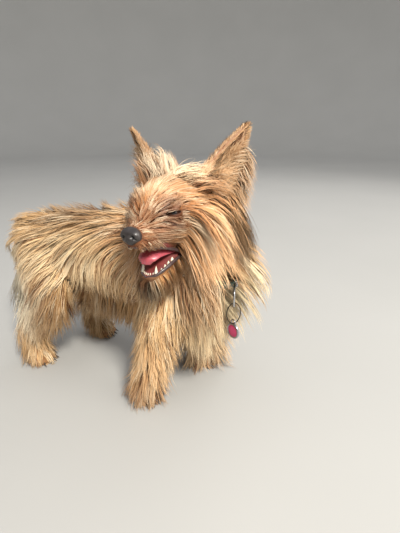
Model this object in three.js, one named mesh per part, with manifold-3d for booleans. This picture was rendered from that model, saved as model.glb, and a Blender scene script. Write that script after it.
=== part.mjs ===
// A small long-coated terrier, life size, standing with its head turned to its right, in millimetres.
// +X runs forward along the trunk, +Y to the dog's left and +Z up from the floor under its paws.
// Each piece has a core that reaches half way out through the coat, and flat tapered locks carry the
// coat from there to its tips, lying along its growth.
import * as THREE from "three";
import { mergeVertices } from "three/addons/utils/BufferGeometryUtils.js";
import Module from "manifold-3d";

const wasm = await Module();
wasm.setup();

// Driving sizes
const GAP = 0.3;
const CORE_SHARE = 0.5;
const WITHERS = 200;
const CHEST_DEPTH = 104;
const TRUNK_BACK = -139;
const TRUNK_FRONT = 134;
const EYE_RADIUS = 6.3;
const EYE_SIDE = 20;
const LID_RADIUS = 8.7;
const LID_OPENING = 4.4;
const EAR_LENGTH = 67;
const EAR_HALF_WIDTH = 18;
const EAR_THICK = 2.4;
const NOSE_HALF_WIDTH = 9.6;
const COLLAR_WIDTH = 10;
const COLLAR_THICK = 2;
const RING_RADIUS = 12;
const RING_WIRE = 1.1;
const TAG_RING_RADIUS = 8;
const TAG_RING_HALF_LENGTH = 12.4;
const TAG_RING_WIRE = 0.8;
const TAG_RADIUS = 8.8;
const TAG_HALF_THICK = 0.8;
const TAG_RIM_HALF_THICK = 1.3;
const TAG_LUG_RADIUS = 3.9;
const TAG_LUG_RISE = 1.6;
const TAG_HOLE_RADIUS = 2.5;
const KEEPER_RADIUS = 3.1;
const KEEPER_WIRE = 0.85;
const WIRE_CLEARANCE = 0.45;
const ROOT_DEPTH = 4;
const WELD = 1e-3;

// Head frame: u forward, v to the dog's left, w up, with its origin midway between the eyes
const HEAD_ORIGIN = new THREE.Vector3(90.4, -63.2, 223.3);
const headMatrix = new THREE.Matrix4()
  .makeTranslation(HEAD_ORIGIN.x, HEAD_ORIGIN.y, HEAD_ORIGIN.z)
  .multiply(new THREE.Matrix4().makeRotationZ(THREE.MathUtils.degToRad(-98.4)))
  .multiply(new THREE.Matrix4().makeRotationX(THREE.MathUtils.degToRad(3)));

const vec = (x, y, z) => new THREE.Vector3(x, y, z);
const inHead = (u, v, w) => vec(u, v, w).applyMatrix4(headMatrix);
const headWay = (u, v, w) => vec(u, v, w).transformDirection(headMatrix);
const { clamp, lerp, smoothstep, degToRad } = THREE.MathUtils;

// The plane of the collar parts the neck from the torso
const COLLAR_CENTRE = vec(112, 0, 168.5);
const COLLAR_NORMAL = vec(0.658, 0, 0.752).normalize();
const COLLAR_OUT = vec(COLLAR_NORMAL.z, 0, -COLLAR_NORMAL.x);
const COLLAR_HALF_LONG = 47;
const COLLAR_HALF_WIDE = 40;

// A repeatable random draw, so that the locks vary but every build is the same
let seed = 107;
function random() {
  seed = (seed + 0x6d2b79f5) | 0;
  let t = Math.imul(seed ^ (seed >>> 15), 1 | seed);
  t = (t + Math.imul(t ^ (t >>> 7), 61 | t)) ^ t;
  return ((t ^ (t >>> 14)) >>> 0) / 4294967296;
}
const vary = (share) => 1 + share * (2 * random() - 1);

// Solids
function solid(geometry, matrix) {
  const flat = geometry.index ? geometry.toNonIndexed() : geometry;
  const plain = new THREE.BufferGeometry();
  plain.setAttribute("position", flat.getAttribute("position").clone());
  if (matrix) plain.applyMatrix4(matrix);
  const merged = mergeVertices(plain, WELD);
  const build = (triangles) =>
    new wasm.Manifold(
      new wasm.Mesh({
        numProp: 3,
        vertProperties: new Float32Array(merged.getAttribute("position").array),
        triVerts: triangles,
      }),
    );
  const triangles = new Uint32Array(merged.index.array);
  const made = build(triangles);
  return made.volume() > 0 ? made : build(triangles.slice().reverse());
}

function geometryOf(manifold) {
  const mesh = manifold.getMesh();
  const positions = new Float32Array(mesh.numVert * 3);
  for (let i = 0; i < mesh.numVert; i++)
    for (let k = 0; k < 3; k++) positions[i * 3 + k] = mesh.vertProperties[i * mesh.numProp + k];
  const geometry = new THREE.BufferGeometry();
  geometry.setAttribute("position", new THREE.BufferAttribute(positions, 3));
  geometry.setIndex(new THREE.BufferAttribute(new Uint32Array(mesh.triVerts), 1));
  return geometry;
}

const join = (solids) => wasm.Manifold.union(solids);
const largest = (manifold) =>
  manifold.decompose().reduce((best, piece) => (piece.volume() > best.volume() ? piece : best));

// A cut leaves corners closer together than a file can tell apart, so they are drawn together first
function settled(manifold) {
  let body = largest(manifold);
  for (let i = 0; i < 2; i++) body = largest(solid(geometryOf(body)));
  return body;
}
const ball = (radius, across = 12) => new THREE.SphereGeometry(radius, across, Math.ceil(across / 2));

// A matrix that stands a shape at a point, with its x along the first way and its z nearest the second
function placed(point, x, z) {
  const side = x.clone().normalize();
  const other = z.clone().cross(side).normalize();
  const top = side.clone().cross(other);
  return new THREE.Matrix4().makeBasis(side, other, top).setPosition(point);
}
const sized = (x, y, z) => new THREE.Matrix4().makeScale(x, y, z);

// All that lies beyond a plane, within reach of the dog
function beyond(point, normal, shift = 0) {
  const reach = 400;
  const box = new THREE.BoxGeometry(reach, reach, reach);
  const centre = point.clone().addScaledVector(normal, reach / 2 - shift);
  const helper = Math.abs(normal.z) > 0.9 ? vec(0, 1, 0) : vec(0, 0, 1);
  return solid(box, placed(centre, normal, helper));
}

// Rings of points, each ring the same length, closed by a fan at each end
function skinRings(rings) {
  const count = rings[0].length;
  const index = [];
  for (let r = 0; r + 1 < rings.length; r++)
    for (let i = 0; i < count; i++) {
      const a = r * count + i;
      const b = r * count + ((i + 1) % count);
      index.push(a, b, a + count, b, b + count, a + count);
    }
  const last = (rings.length - 1) * count;
  for (let i = 1; i + 1 < count; i++) index.push(0, i + 1, i, last, last + i, last + i + 1);
  const geometry = new THREE.BufferGeometry().setFromPoints(rings.flat());
  geometry.setIndex(index);
  return geometry;
}

// A body part as rings along its smoothed stations of [centre, half width, half height, coat depth]
function limb(stations, side, steps) {
  const centres = new THREE.CatmullRomCurve3(stations.map((s) => s[0]));
  const sizes = new THREE.CatmullRomCurve3(stations.map((s) => vec(s[1], s[2], s[3])));
  return Array.from({ length: steps + 1 }, (_, i) => {
    const t = i / steps;
    const tangent = centres.getTangent(t);
    const up = tangent.clone().cross(side).normalize();
    const across = up.clone().cross(tangent).normalize();
    const size = sizes.getPoint(t);
    const pad = size.z * CORE_SHARE;
    const centre = centres.getPoint(t);
    return { centre, tangent, up, across, a: size.x + pad, b: size.y + pad, coat: size.z };
  });
}

const ringPoint = (r, angle, grow = 0) =>
  r.centre
    .clone()
    .addScaledVector(r.across, (r.a + grow) * Math.cos(angle))
    .addScaledVector(r.up, (r.b + grow) * Math.sin(angle));

function limbSolid(rings, sides, grow = 0) {
  const rows = rings.map((r, k) => {
    const end = k === 0 ? -grow : k === rings.length - 1 ? grow : 0;
    return Array.from({ length: sides }, (_, i) =>
      ringPoint(r, (i / sides) * Math.PI * 2, grow).addScaledVector(r.tangent, end),
    );
  });
  return solid(skinRings(rows));
}

// How far a point lies outside a limb, and which way is out
function limbDistance(rings, p) {
  let best = { height: Infinity, out: vec(0, 0, 1) };
  for (let i = 0; i + 1 < rings.length; i++) {
    const [r, q] = [rings[i], rings[i + 1]];
    const axis = q.centre.clone().sub(r.centre);
    const t = clamp(p.clone().sub(r.centre).dot(axis) / axis.lengthSq(), 0, 1);
    const a = lerp(r.a, q.a, t);
    const b = lerp(r.b, q.b, t);
    const c = (a + b) / 2;
    const offset = p.clone().sub(r.centre).addScaledVector(axis, -t);
    const [x, y, z] = [offset.dot(r.across), offset.dot(r.up), offset.dot(r.tangent)];
    const rho = Math.hypot(x / a, y / b, z / c) + 1e-6;
    const height = offset.length() * (1 - 1 / rho);
    if (height >= best.height) continue;
    const out = r.across.clone().multiplyScalar(x / (a * a));
    out.addScaledVector(r.up, y / (b * b)).addScaledVector(r.tangent, z / (c * c));
    best = { height, out: out.normalize() };
  }
  return best;
}

// Body parts, as stations of [centre, half width, half height, coat depth]
const LEFTWARD = vec(0, 1, 0);
const HEAD_LEFT = headWay(0, 1, 0);
const at = (x, y, z, a, b, coat) => [vec(x, y, z), a, b, coat];
const inSkull = (u, w, a, b, coat) => [inHead(u, 0, w), a, b, coat];

const CHEST_MIDDLE = WITHERS - CHEST_DEPTH / 2;
const torsoStations = [
  at(TRUNK_BACK, 0, 150, 10, 12, 12),
  at(-133, 0, 152, 24, 26, 15),
  at(-118, 0, 150, 34, 36, 16),
  at(-90, 0, 147, 37, 41, 16),
  at(-55, 0, 147, 38, 43, 15),
  at(-15, 0, 149, 41, 47, 15),
  at(25, 0, CHEST_MIDDLE, 43, 50, 13),
  at(62, 0, CHEST_MIDDLE, 42, CHEST_DEPTH / 2, 13),
  at(95, 0, 151, 38, 46, 13),
  at(119, 0, 152, 30, 36, 13),
  at(TRUNK_FRONT, 0, 151, 16, 20, 12),
  at(TRUNK_FRONT + 7, 0, 150, 2, 4, 8),
];
const neckStations = [
  at(68, 0, 158, 34, 36, 20),
  at(86, -1, 178, 33, 36, 20),
  at(97, -8, 200, 28, 30, 20),
  at(100, -16, 216, 20, 22, 18),
  at(100, -22, 226, 10, 12, 12),
];
const skullStations = [
  inSkull(-60, 3, 8, 8, 10),
  inSkull(-54, 2, 20, 19, 10),
  inSkull(-42, 0, 30, 27, 10),
  inSkull(-26, -2, 33, 29, 10),
  inSkull(-11, -5, 30, 25, 8),
  inSkull(1, -9, 24, 19, 5),
  inSkull(9, -13, 15, 12, 3),
  inSkull(14, -15, 11, 9, 2),
];
const muzzleStations = [
  inSkull(-8, -14, 16, 13, 2),
  inSkull(6, -15, 14, 11.5, 2),
  inSkull(19, -16, 12.5, 10.3, 2),
  inSkull(30, -17, 11, 9.3, 2),
  inSkull(36, -17.5, 9, 8, 1),
];
const jawStations = [
  inSkull(-36, -30, 13, 11, 2),
  inSkull(-26, -36, 17, 11, 2),
  inSkull(-15, -42.5, 16.5, 9, 2),
  inSkull(-3, -50, 14.5, 7.5, 2),
  inSkull(9, -56, 12.5, 6.5, 2),
  inSkull(17, -59.5, 9, 5, 2),
  inSkull(21, -61, 4.5, 3, 2),
];
const tailStations = [
  at(-128, 2, 172, 11, 11, 8),
  at(-143, 3, 168, 9, 9, 10),
  at(-152, 4, 153, 8, 8, 11),
  at(-154, 5, 134, 6.5, 6.5, 11),
  at(-154, 5, 114, 3.5, 3.5, 9),
];

// A foreleg runs from the shoulder over elbow and wrist to the paw, and ends in a flat below the floor line
function foreStations(y, elbowX, wristX, pawX, splay) {
  const side = Math.sign(y);
  const wristY = y + side * splay;
  return [
    at(elbowX - 6, y * 0.72, 132, 15, 22, 10),
    at(elbowX, y, 106, 13, 15, 12),
    at(lerp(elbowX, wristX, 0.5), (y + wristY) / 2, 66, 9.5, 10.5, 15),
    at(wristX, wristY, 32, 8.5, 9, 12),
    at((wristX + pawX) / 2 + 1, wristY + side, 17, 9.5, 10, 7),
    at(pawX, wristY + side * 2, 7, 11.5, 13, 4),
    at(pawX + 1, wristY + side * 2, -2, 10.5, 12, 4),
  ];
}

// A thigh runs from the hip over the bent stifle to just below the hock's tendon
function thighStations(y, x) {
  return [
    at(x - 6, y * 0.66, 152, 16, 29, 10),
    at(x + 2, y * 0.86, 130, 18, 32, 12),
    at(x + 12, y, 108, 17, 27, 14),
    at(x + 8, y, 90, 13, 21, 14),
    at(x - 10, y, 71, 10.5, 14, 13),
    at(x - 20, y, 57, 9, 11, 12),
  ];
}

// A shank runs from the hock down the hind pastern to the paw
function shankStations(y, x, pawX) {
  return [
    at(x - 14, y, 64, 9.5, 12, 12),
    at(x - 25, y, 50, 8, 9.5, 12),
    at((x - 22 + pawX) / 2 - 4, y, 30, 7.5, 8.5, 9),
    at(pawX - 4, y, 15, 9, 10, 6),
    at(pawX, y, 7, 11.5, 13, 4),
    at(pawX + 1, y, -2, 10.5, 12, 4),
  ];
}

const limbs = {
  torso: limb(torsoStations, LEFTWARD, 13),
  neck: limb(neckStations, LEFTWARD, 6),
  skull: limb(skullStations, HEAD_LEFT, 9),
  muzzle: limb(muzzleStations, HEAD_LEFT, 5),
  jaw: limb(jawStations, HEAD_LEFT, 7),
  tail: limb(tailStations, LEFTWARD, 6),
  foreleg_right: limb(foreStations(-40, 80, 69, 63, 13), LEFTWARD, 9),
  foreleg_left: limb(foreStations(36, 88, 97, 97, 0), LEFTWARD, 9),
  thigh_right: limb(thighStations(-41, -88), LEFTWARD, 8),
  thigh_left: limb(thighStations(43, -62), LEFTWARD, 8),
  shank_right: limb(shankStations(-43, -88, -103), LEFTWARD, 8),
  shank_left: limb(shankStations(46, -62, -68), LEFTWARD, 8),
};
const SIDES = { torso: 16, neck: 14, skull: 16, muzzle: 12, thigh_right: 12, thigh_left: 12 };
const rod = (name, grow = 0) => limbSolid(limbs[name], SIDES[name] ?? 10, grow);
const floorCut = () => beyond(vec(0, 0, 0), vec(0, 0, 1));

// Eyes, lids and sockets
const eyeSpot = (side) => inHead(-1, side * EYE_SIDE, 0);
const eyeWay = (side) => headWay(0.74, side * 0.66, 0.08);
const eyeball = (side, radius) =>
  solid(ball(radius, 10), placed(eyeSpot(side), eyeWay(side), headWay(0, 0, 1)));
function lidOpening(side) {
  const front = eyeSpot(side).addScaledVector(eyeWay(side), EYE_RADIUS);
  const frame = placed(front, eyeWay(side), headWay(-0.1, -side * 0.15, 1));
  return solid(ball(1, 8), frame.multiply(sized(5, 7.2, LID_OPENING / 2)));
}

// The nose pad with its two nostrils and the groove between them
const NOSE_HALF_DEPTH = 6.4;
const NOSE_HALF_HEIGHT = 8;
const nosePlace = placed(inHead(34, 0, -15), headWay(1, 0, 0.12), headWay(0, 0, 1));
function noseBody(grow) {
  const size = sized(NOSE_HALF_DEPTH + grow, NOSE_HALF_WIDTH + grow, NOSE_HALF_HEIGHT + grow);
  return solid(ball(1, 10), nosePlace.clone().multiply(size));
}
function nosePad() {
  const pits = [-1, 1].map((side) => {
    const spot = new THREE.Matrix4().makeTranslation(5.2, side * 4.6, -0.4);
    return solid(ball(1, 6), nosePlace.clone().multiply(spot).multiply(sized(3.2, 2.3, 1.9)));
  });
  const groove = new THREE.BoxGeometry(3, 0.9, 9);
  const low = new THREE.Matrix4().makeTranslation(7, 0, -5.5);
  return noseBody(0).subtract(join([...pits, solid(groove, nosePlace.clone().multiply(low))]));
}

// A bent rod of round section along points, such as a lip
function bead(points, radius, sides, flat = 1) {
  const curve = new THREE.CatmullRomCurve3(points);
  const count = points.length + 1;
  const rows = Array.from({ length: count + 1 }, (_, i) => {
    const t = i / count;
    const tangent = curve.getTangent(t);
    const up = tangent.clone().cross(HEAD_LEFT).normalize();
    const across = up.clone().cross(tangent);
    const r = radius * (i === 0 || i === count ? 0.6 : 1);
    return Array.from({ length: sides }, (_, k) => {
      const angle = (k / sides) * Math.PI * 2;
      return curve
        .getPoint(t)
        .addScaledVector(across, r * flat * Math.cos(angle))
        .addScaledVector(up, r * Math.sin(angle));
    });
  });
  return solid(skinRings(rows));
}
const UPPER_LIP = [[35, 5, -25], [20, 11, -27], [4, 15, -31.5], [-9, 17.2, -37]];
const LOWER_LIP = [[-12, 16.6, -43], [-2, 14.6, -47], [8, 12, -51], [18, 5, -56]];
const lip = (points, side, radius, flat) =>
  bead(points.map(([u, v, w]) => inHead(u, side * v, w)), radius, 5, flat);
const upperLip = (side) => lip(UPPER_LIP, side, 2.3, 0.75);
const lowerLip = (side) => lip(LOWER_LIP, side, 1.7);

// The muscle that fills the side of the face above the jaw's hinge
function cheek(side, grow) {
  const frame = placed(inHead(-25, side * 19, -24), headWay(1, 0, -0.3), headWay(0, 0, 1));
  const whole = solid(ball(1, 8), frame.multiply(sized(15 + grow, 9 + grow, 16 + grow)));
  return whole.subtract(jawTop(GAP - grow));
}

// Teeth are cones rooted in the gums, the upper ones pointing down
const INCISOR = { height: 4.6, radius: 1.35 };
const CANINE = { height: 7.4, radius: 1.9 };
const PREMOLAR = { height: 5, radius: 1.9 };
const INCISORS = 4;
const INCISOR_SPACING = 2.6;
const CANINE_SETBACK = 3;
const PREMOLAR_SHARE = 0.55;
const TOOTH_ROOT = 1.5;
function tooth(u, v, w, { height, radius }, sign) {
  const cone = new THREE.ConeGeometry(radius, height, 5);
  const centre = inHead(u, v, w + sign * (height / 2 - TOOTH_ROOT));
  return solid(cone, placed(centre, headWay(0, 1, 0), headWay(sign, 0, 0)));
}
function rowOfTeeth(sign, front, back, gumFront, gumBack, halfFront, halfBack) {
  const teeth = [];
  for (let i = 0; i < INCISORS; i++) {
    const v = (i - (INCISORS - 1) / 2) * INCISOR_SPACING;
    teeth.push(tooth(front, v, gumFront, INCISOR, sign));
  }
  const u = lerp(front, back, PREMOLAR_SHARE);
  const half = lerp(halfFront, halfBack, PREMOLAR_SHARE);
  const gum = lerp(gumFront, gumBack, PREMOLAR_SHARE);
  for (const side of [-1, 1]) {
    teeth.push(tooth(front - CANINE_SETBACK, side * halfFront, gumFront, CANINE, sign));
    teeth.push(tooth(u, side * half, gum, PREMOLAR, sign));
  }
  return join(teeth);
}

// The tongue arches over the jaw, hollow down its middle, as stations of [u, w, half width] and a section
const TONGUE_BACK = [[-24, -38.5, 9], [-14, -38, 11], [-4, -36.8, 12]];
const TONGUE_LINE = [...TONGUE_BACK, [6, -36.2, 12], [14, -37, 11], [19.4, -40, 7]];
const TONGUE_TOP = [[1, 0], [0.72, 1], [0.3, 0.62], [0, 0.25], [-0.3, 0.62], [-0.72, 1], [-1, 0]];
const TONGUE_SECTION = [...TONGUE_TOP, [-0.6, -1], [0.6, -1]];
function tongue(grow) {
  const curve = new THREE.CatmullRomCurve3(TONGUE_LINE.map(([u, w]) => vec(u, 0, w)));
  const widths = new THREE.CatmullRomCurve3(TONGUE_LINE.map(([, , half]) => vec(half, 0, 0)));
  const steps = 9;
  const rows = Array.from({ length: steps + 1 }, (_, i) => {
    const t = i / steps;
    const centre = curve.getPoint(t);
    const half = widths.getPoint(t).x + grow;
    const normal = vec(-curve.getTangent(t).z, 0, curve.getTangent(t).x);
    const thick = (i === 0 || i === steps ? 1.3 : 2.4) + grow;
    return TONGUE_SECTION.map(([v, h]) => {
      const lift = normal.clone().multiplyScalar(h * thick);
      return inHead(centre.x + lift.x, v * half, centre.z + lift.z);
    });
  });
  return solid(skinRings(rows));
}

// An ear is a cupped leaf that opens forwards and outwards
const EAR_TIP_THICK = 1.1;
const EAR_BOW = 3;
const EAR_WRAP = [112, 62];
const EAR_RIM_INSET = degToRad(16);
const earBase = (side) => inHead(-43, side * 29, 16);
const earTip = (side) => inHead(-58, side * 64, 71);
function earFrame(side, t) {
  const axis = earTip(side).sub(earBase(side)).normalize();
  const open = headWay(0.72, side * 0.7, 0);
  open.addScaledVector(axis, -open.dot(axis)).normalize();
  const across = axis.clone().cross(open).normalize();
  const middle = earBase(side).addScaledVector(axis, EAR_LENGTH * t).addScaledVector(open, EAR_BOW * t);
  const half = EAR_HALF_WIDTH * (1 - t ** 1.9) * (0.86 + 0.5 * t * (1 - t)) + 0.9;
  return { axis, open, across, middle, half, wrap: degToRad(lerp(...EAR_WRAP, t)) };
}
const earOut = ({ open, across }, angle) =>
  open.clone().multiplyScalar(-0.8 * Math.cos(angle)).addScaledVector(across, Math.sin(angle));
function ear(side, grow) {
  const steps = 7;
  const points = 5;
  const rows = [];
  for (let i = 0; i <= steps; i++) {
    const t = i / steps;
    const frame = earFrame(side, t);
    const thick = lerp(EAR_THICK, EAR_TIP_THICK, t);
    const end = i === steps ? grow : 0;
    const arc = (radius, from, to) =>
      Array.from({ length: points }, (_, k) =>
        frame.middle
          .clone()
          .addScaledVector(frame.axis, end)
          .addScaledVector(earOut(frame, lerp(from, to, k / (points - 1))), radius),
      );
    const inner = Math.max(frame.half - thick - grow, 0.25);
    rows.push([...arc(frame.half + grow, -frame.wrap, frame.wrap), ...arc(inner, frame.wrap, -frame.wrap)]);
  }
  return solid(skinRings(rows));
}

// Paws: four toes with a claw each, on the flat that rests on the floor
const TOES = 4;
const TOE_LEAD = 11.5;
const TOE_SETBACK = 3.2;
const TOE_SPREAD = 8;
const TOE_HEIGHT = 5.2;
const CLAW_RADIUS = 1.4;
const CLAW_LENGTH = 7;
const CLAW_REACH = 7.2;
function toes(x, y) {
  const parts = [];
  for (let i = 0; i < TOES; i++) {
    const spread = (2 * i) / (TOES - 1) - 1;
    const lead = TOE_LEAD - TOE_SETBACK * Math.abs(spread);
    const toe = vec(x + lead, y + spread * TOE_SPREAD, TOE_HEIGHT);
    const toeFrame = placed(toe, vec(1, spread * 0.25, 0), vec(0, 0, 1));
    parts.push(solid(new THREE.OctahedronGeometry(1.15), toeFrame.multiply(sized(6.2, 4.2, TOE_HEIGHT))));
    const claw = new THREE.ConeGeometry(CLAW_RADIUS, CLAW_LENGTH, 4);
    const way = vec(0.86, spread * 0.3, -0.42).normalize();
    const spot = toe.clone().addScaledVector(way, CLAW_REACH);
    parts.push(solid(claw, placed(spot, vec(0, 1, 0), way.clone().cross(vec(0, 1, 0)).negate())));
  }
  return join(parts);
}

// The collar, its ring, the split ring and the tag, each hanging from the one before
const CAMERA_SIDE = degToRad(-73);
function collarBand(grow) {
  const turns = 22;
  const ring = (outer, lift) =>
    Array.from({ length: turns }, (_, i) => {
      const angle = (i / turns) * Math.PI * 2;
      const [long, wide] = [COLLAR_HALF_LONG + outer, COLLAR_HALF_WIDE + outer];
      return COLLAR_CENTRE.clone()
        .addScaledVector(COLLAR_OUT, long * Math.cos(angle))
        .addScaledVector(LEFTWARD, wide * Math.sin(angle))
        .addScaledVector(COLLAR_NORMAL, lift);
    });
  const [half, thick] = [COLLAR_WIDTH / 2 + grow, COLLAR_THICK / 2 + grow];
  const corners = [ring(-thick, -half), ring(thick, -half), ring(thick, half), ring(-thick, half)];
  const index = [];
  for (let k = 0; k < 4; k++)
    for (let i = 0; i < turns; i++) {
      const [a, b] = [k * turns + i, k * turns + ((i + 1) % turns)];
      const shift = (((k + 1) % 4) - k) * turns;
      index.push(a, b, a + shift, b, b + shift, a + shift);
    }
  const geometry = new THREE.BufferGeometry().setFromPoints(corners.flat());
  geometry.setIndex(index);
  return solid(geometry);
}
const COLLAR_FRONT = COLLAR_CENTRE.clone().addScaledVector(COLLAR_OUT, COLLAR_HALF_LONG).setY(-2);
function keeper() {
  const centre = COLLAR_FRONT.clone().addScaledVector(COLLAR_OUT, 1.9);
  const loop = new THREE.TorusGeometry(KEEPER_RADIUS, KEEPER_WIRE, 5, 10);
  return solid(loop, placed(centre, vec(1, 0, 0), vec(0, -1, 0)));
}
const spun = (angle) => vec(Math.cos(angle), Math.sin(angle), 0);
function hangingRing(top, height, radius, wire, angle, grow = 0) {
  const centre = top.clone().add(vec(0, 0, -height));
  const frame = placed(centre, spun(angle + Math.PI / 2), spun(angle));
  const round = new THREE.TorusGeometry(radius, wire + grow, 5, 18);
  return solid(round, frame.multiply(sized(1, height / radius, 1)));
}
const wireTop = COLLAR_FRONT.clone().addScaledVector(COLLAR_OUT, 2.45);
const STEEL = [wireTop, RING_RADIUS, RING_RADIUS, RING_WIRE, CAMERA_SIDE + Math.PI / 2];
const splitTop = wireTop.clone();
splitTop.z += RING_WIRE + TAG_RING_WIRE + WIRE_CLEARANCE - 2 * RING_RADIUS;
const SPLIT = [splitTop, TAG_RING_HALF_LENGTH, TAG_RING_RADIUS, TAG_RING_WIRE, CAMERA_SIDE + degToRad(20)];
const tagHole = splitTop.clone().add(vec(0, 0, -2 * TAG_RING_HALF_LENGTH + 1.1));
const TAG_WAY = spun(CAMERA_SIDE - degToRad(45));
const tagCentre = tagHole.clone().add(vec(0, 0, -TAG_RADIUS - TAG_LUG_RISE));
function tag(grow) {
  const frame = placed(tagCentre, vec(0, 0, 1).cross(TAG_WAY), TAG_WAY);
  const lying = new THREE.Matrix4().makeRotationX(Math.PI / 2);
  const up = new THREE.Matrix4().makeTranslation(0, TAG_RADIUS + TAG_LUG_RISE, 0);
  const [face, rim, edge] = [TAG_RADIUS - 1.5, TAG_RADIUS - 0.3 + grow, TAG_RADIUS + 0.5 + grow];
  const lower = [[0, -TAG_HALF_THICK], [face, -TAG_HALF_THICK]];
  lower.push([face, -TAG_RIM_HALF_THICK], [rim, -TAG_RIM_HALF_THICK]);
  const upper = lower.map(([r, h]) => [r, -h]).reverse();
  const outline = [...lower, [edge, 0], ...upper];
  const profile = outline.map(([r, h]) => new THREE.Vector2(r, h + Math.sign(h) * grow));
  const disc = new THREE.LatheGeometry(profile, 16);
  const plate = (radius, thick, sides) =>
    solid(
      new THREE.CylinderGeometry(radius, radius, thick, sides),
      frame.clone().multiply(up).multiply(lying),
    );
  const round = solid(disc, frame.clone().multiply(lying));
  const whole = join([round, plate(TAG_LUG_RADIUS + grow, 2 * (0.95 + grow), 10)]);
  return grow ? whole : whole.subtract(plate(TAG_HOLE_RADIUS, 8, 10));
}

const worn = {
  collar: (grow) => join([collarBand(grow), keeper()]),
  collar_ring: (grow) => hangingRing(...STEEL, grow),
  tag_ring: (grow) => hangingRing(...SPLIT, grow),
  tag,
};
const wornFence = join(Object.values(worn).map((make) => make(GAP)));

// Locks: flat strips of triangular section that follow the lie of the coat and taper to a point
const PROFILE = [0.6, 1, 0.82, 0.5];
function lockSolid(path, width, thick, grow) {
  const rows = path.slice(0, -1).map(({ p, out, way }, i) => {
    const side = way.clone().cross(out).normalize();
    const half = (width * PROFILE[i]) / 2 + 2 * grow;
    const start = p.clone().addScaledVector(way, i === 0 ? -2 * grow : 0);
    const flat = start.clone().addScaledVector(out, -0.4 * thick - grow);
    const ridge = start.addScaledVector(out, 0.6 * thick + grow);
    return [flat.clone().addScaledVector(side, -half), flat.addScaledVector(side, half), ridge];
  });
  const end = path.at(-1);
  const tip = end.p.clone().addScaledVector(end.way, 3 * grow);
  const count = rows.length * 3;
  const geometry = skinRings(rows);
  const index = Array.from(geometry.index.array).slice(0, -3);
  for (let i = 0; i < 3; i++) index.push(count - 3 + i, count - 3 + ((i + 1) % 3), count);
  const closed = new THREE.BufferGeometry().setFromPoints([...rows.flat(), tip]);
  closed.setIndex(index);
  return solid(closed);
}

function nearest(p) {
  let best = { height: Infinity };
  for (const rings of Object.values(limbs)) {
    const found = limbDistance(rings, p);
    if (found.height < best.height) best = found;
  }
  return best;
}

// A lock's path leaves its root, turns with the coat's flow and stays above the cores at its own height
const BENDS = [0.24, 0.6, 1];
function lockPath(root, out, { length, lift, flow, hangs }) {
  let p = root.clone();
  let normal = out.clone();
  const path = [{ p: p.clone().addScaledVector(out, -ROOT_DEPTH), out: normal }];
  const sway = 0.22 * (2 * random() - 1);
  let reached = 0;
  for (const share of BENDS) {
    const way = flow(p, normal).normalize();
    way.addScaledVector(normal.clone().cross(way), sway * Math.sin(7 * share)).normalize();
    if (!hangs) way.addScaledVector(normal, -way.dot(normal)).normalize();
    p = p.clone().addScaledVector(way, length * (share - reached));
    reached = share;
    const near = nearest(p);
    const wanted = lift * share ** 0.8;
    if (near.height < wanted || (!hangs && near.height > wanted))
      p.addScaledVector(near.out, wanted - near.height);
    p.z = Math.max(p.z, 2.9 - 1.5 * share);
    normal = normal.clone().lerp(near.out, hangs ? 0.4 : 0.85).normalize();
    path.push({ p, out: normal });
  }
  path.forEach((step, i) => {
    const from = path[Math.max(i - 1, 0)].p;
    const to = path[Math.min(i + 1, path.length - 1)].p;
    step.way = to.clone().sub(from).normalize();
  });
  return path;
}

function rootOn(rings, t, angle) {
  const place = clamp(t, 0, 0.9999) * (rings.length - 1);
  const i = Math.floor(place);
  const [r, q] = [rings[i], rings[i + 1]];
  const point = ringPoint(r, angle).lerp(ringPoint(q, angle), place - i);
  const out = r.across.clone().multiplyScalar(Math.cos(angle) / r.a);
  out.addScaledVector(r.up, Math.sin(angle) / r.b).normalize();
  return { point, out, coat: lerp(r.coat, q.coat, place - i) };
}

// The lie of the coat: the way a hair grows at a point, given the way out of the body there
const flows = {
  trunk: (p, out) => {
    const top = Math.max(out.z, 0);
    const chest = smoothstep(p.x, 92, 128);
    const rump = 1 - smoothstep(p.x, -128, -95);
    const back = -0.3 - 0.75 * top + 1.1 * chest - 0.15 * rump;
    return vec(back, 0.5 * top * Math.sign(p.y), -1 + 0.78 * top * (1 - chest) - 0.2 * rump);
  },
  chest: (p, out) => vec(0.2, 0.12 * Math.sign(p.y), -1).addScaledVector(out, 0.1),
  belly: (p) => vec(-0.3, 0.28 * Math.sign(p.y), -1),
  leg: (p, out) => vec(-0.15, 0, -1).addScaledVector(out, 0.2),
  hock: (p, out) => vec(-0.5, 0, -1).addScaledVector(out, 0.1),
  tail: () => vec(-0.12, 0.02, -1),
  crown: (p, out) => headWay(-0.9, 0.5 * Math.sign(out.dot(HEAD_LEFT)), 0.25),
  topknot: (p, out) => headWay(-0.25, 0.25 * Math.sign(out.dot(HEAD_LEFT)), 1),
  brow: (p, out) => headWay(-0.4, Math.sign(out.dot(HEAD_LEFT)), -0.45),
  cheek: (p, out) => headWay(-0.5, 0, -1).addScaledVector(out, 0.2),
  windward: (p, out) => headWay(-0.3, 0.5, -1).addScaledVector(out, 0.35),
  nape: (p, out) => headWay(-0.3, 0, -1).addScaledVector(out, 0.12),
  muzzle: (p, out) => headWay(-1, 0, -0.25 * Math.abs(out.dot(HEAD_LEFT))),
  moustache: (p, out) => headWay(-0.75, 0, -0.75).addScaledVector(out, 0.15),
  beard: (p, out) => headWay(-0.25, 0, -1),
  ruff: (p, out) => vec(0, 0, -1).addScaledVector(out, 0.38).addScaledVector(headWay(-1, 0, 0), 0.1),
};

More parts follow.
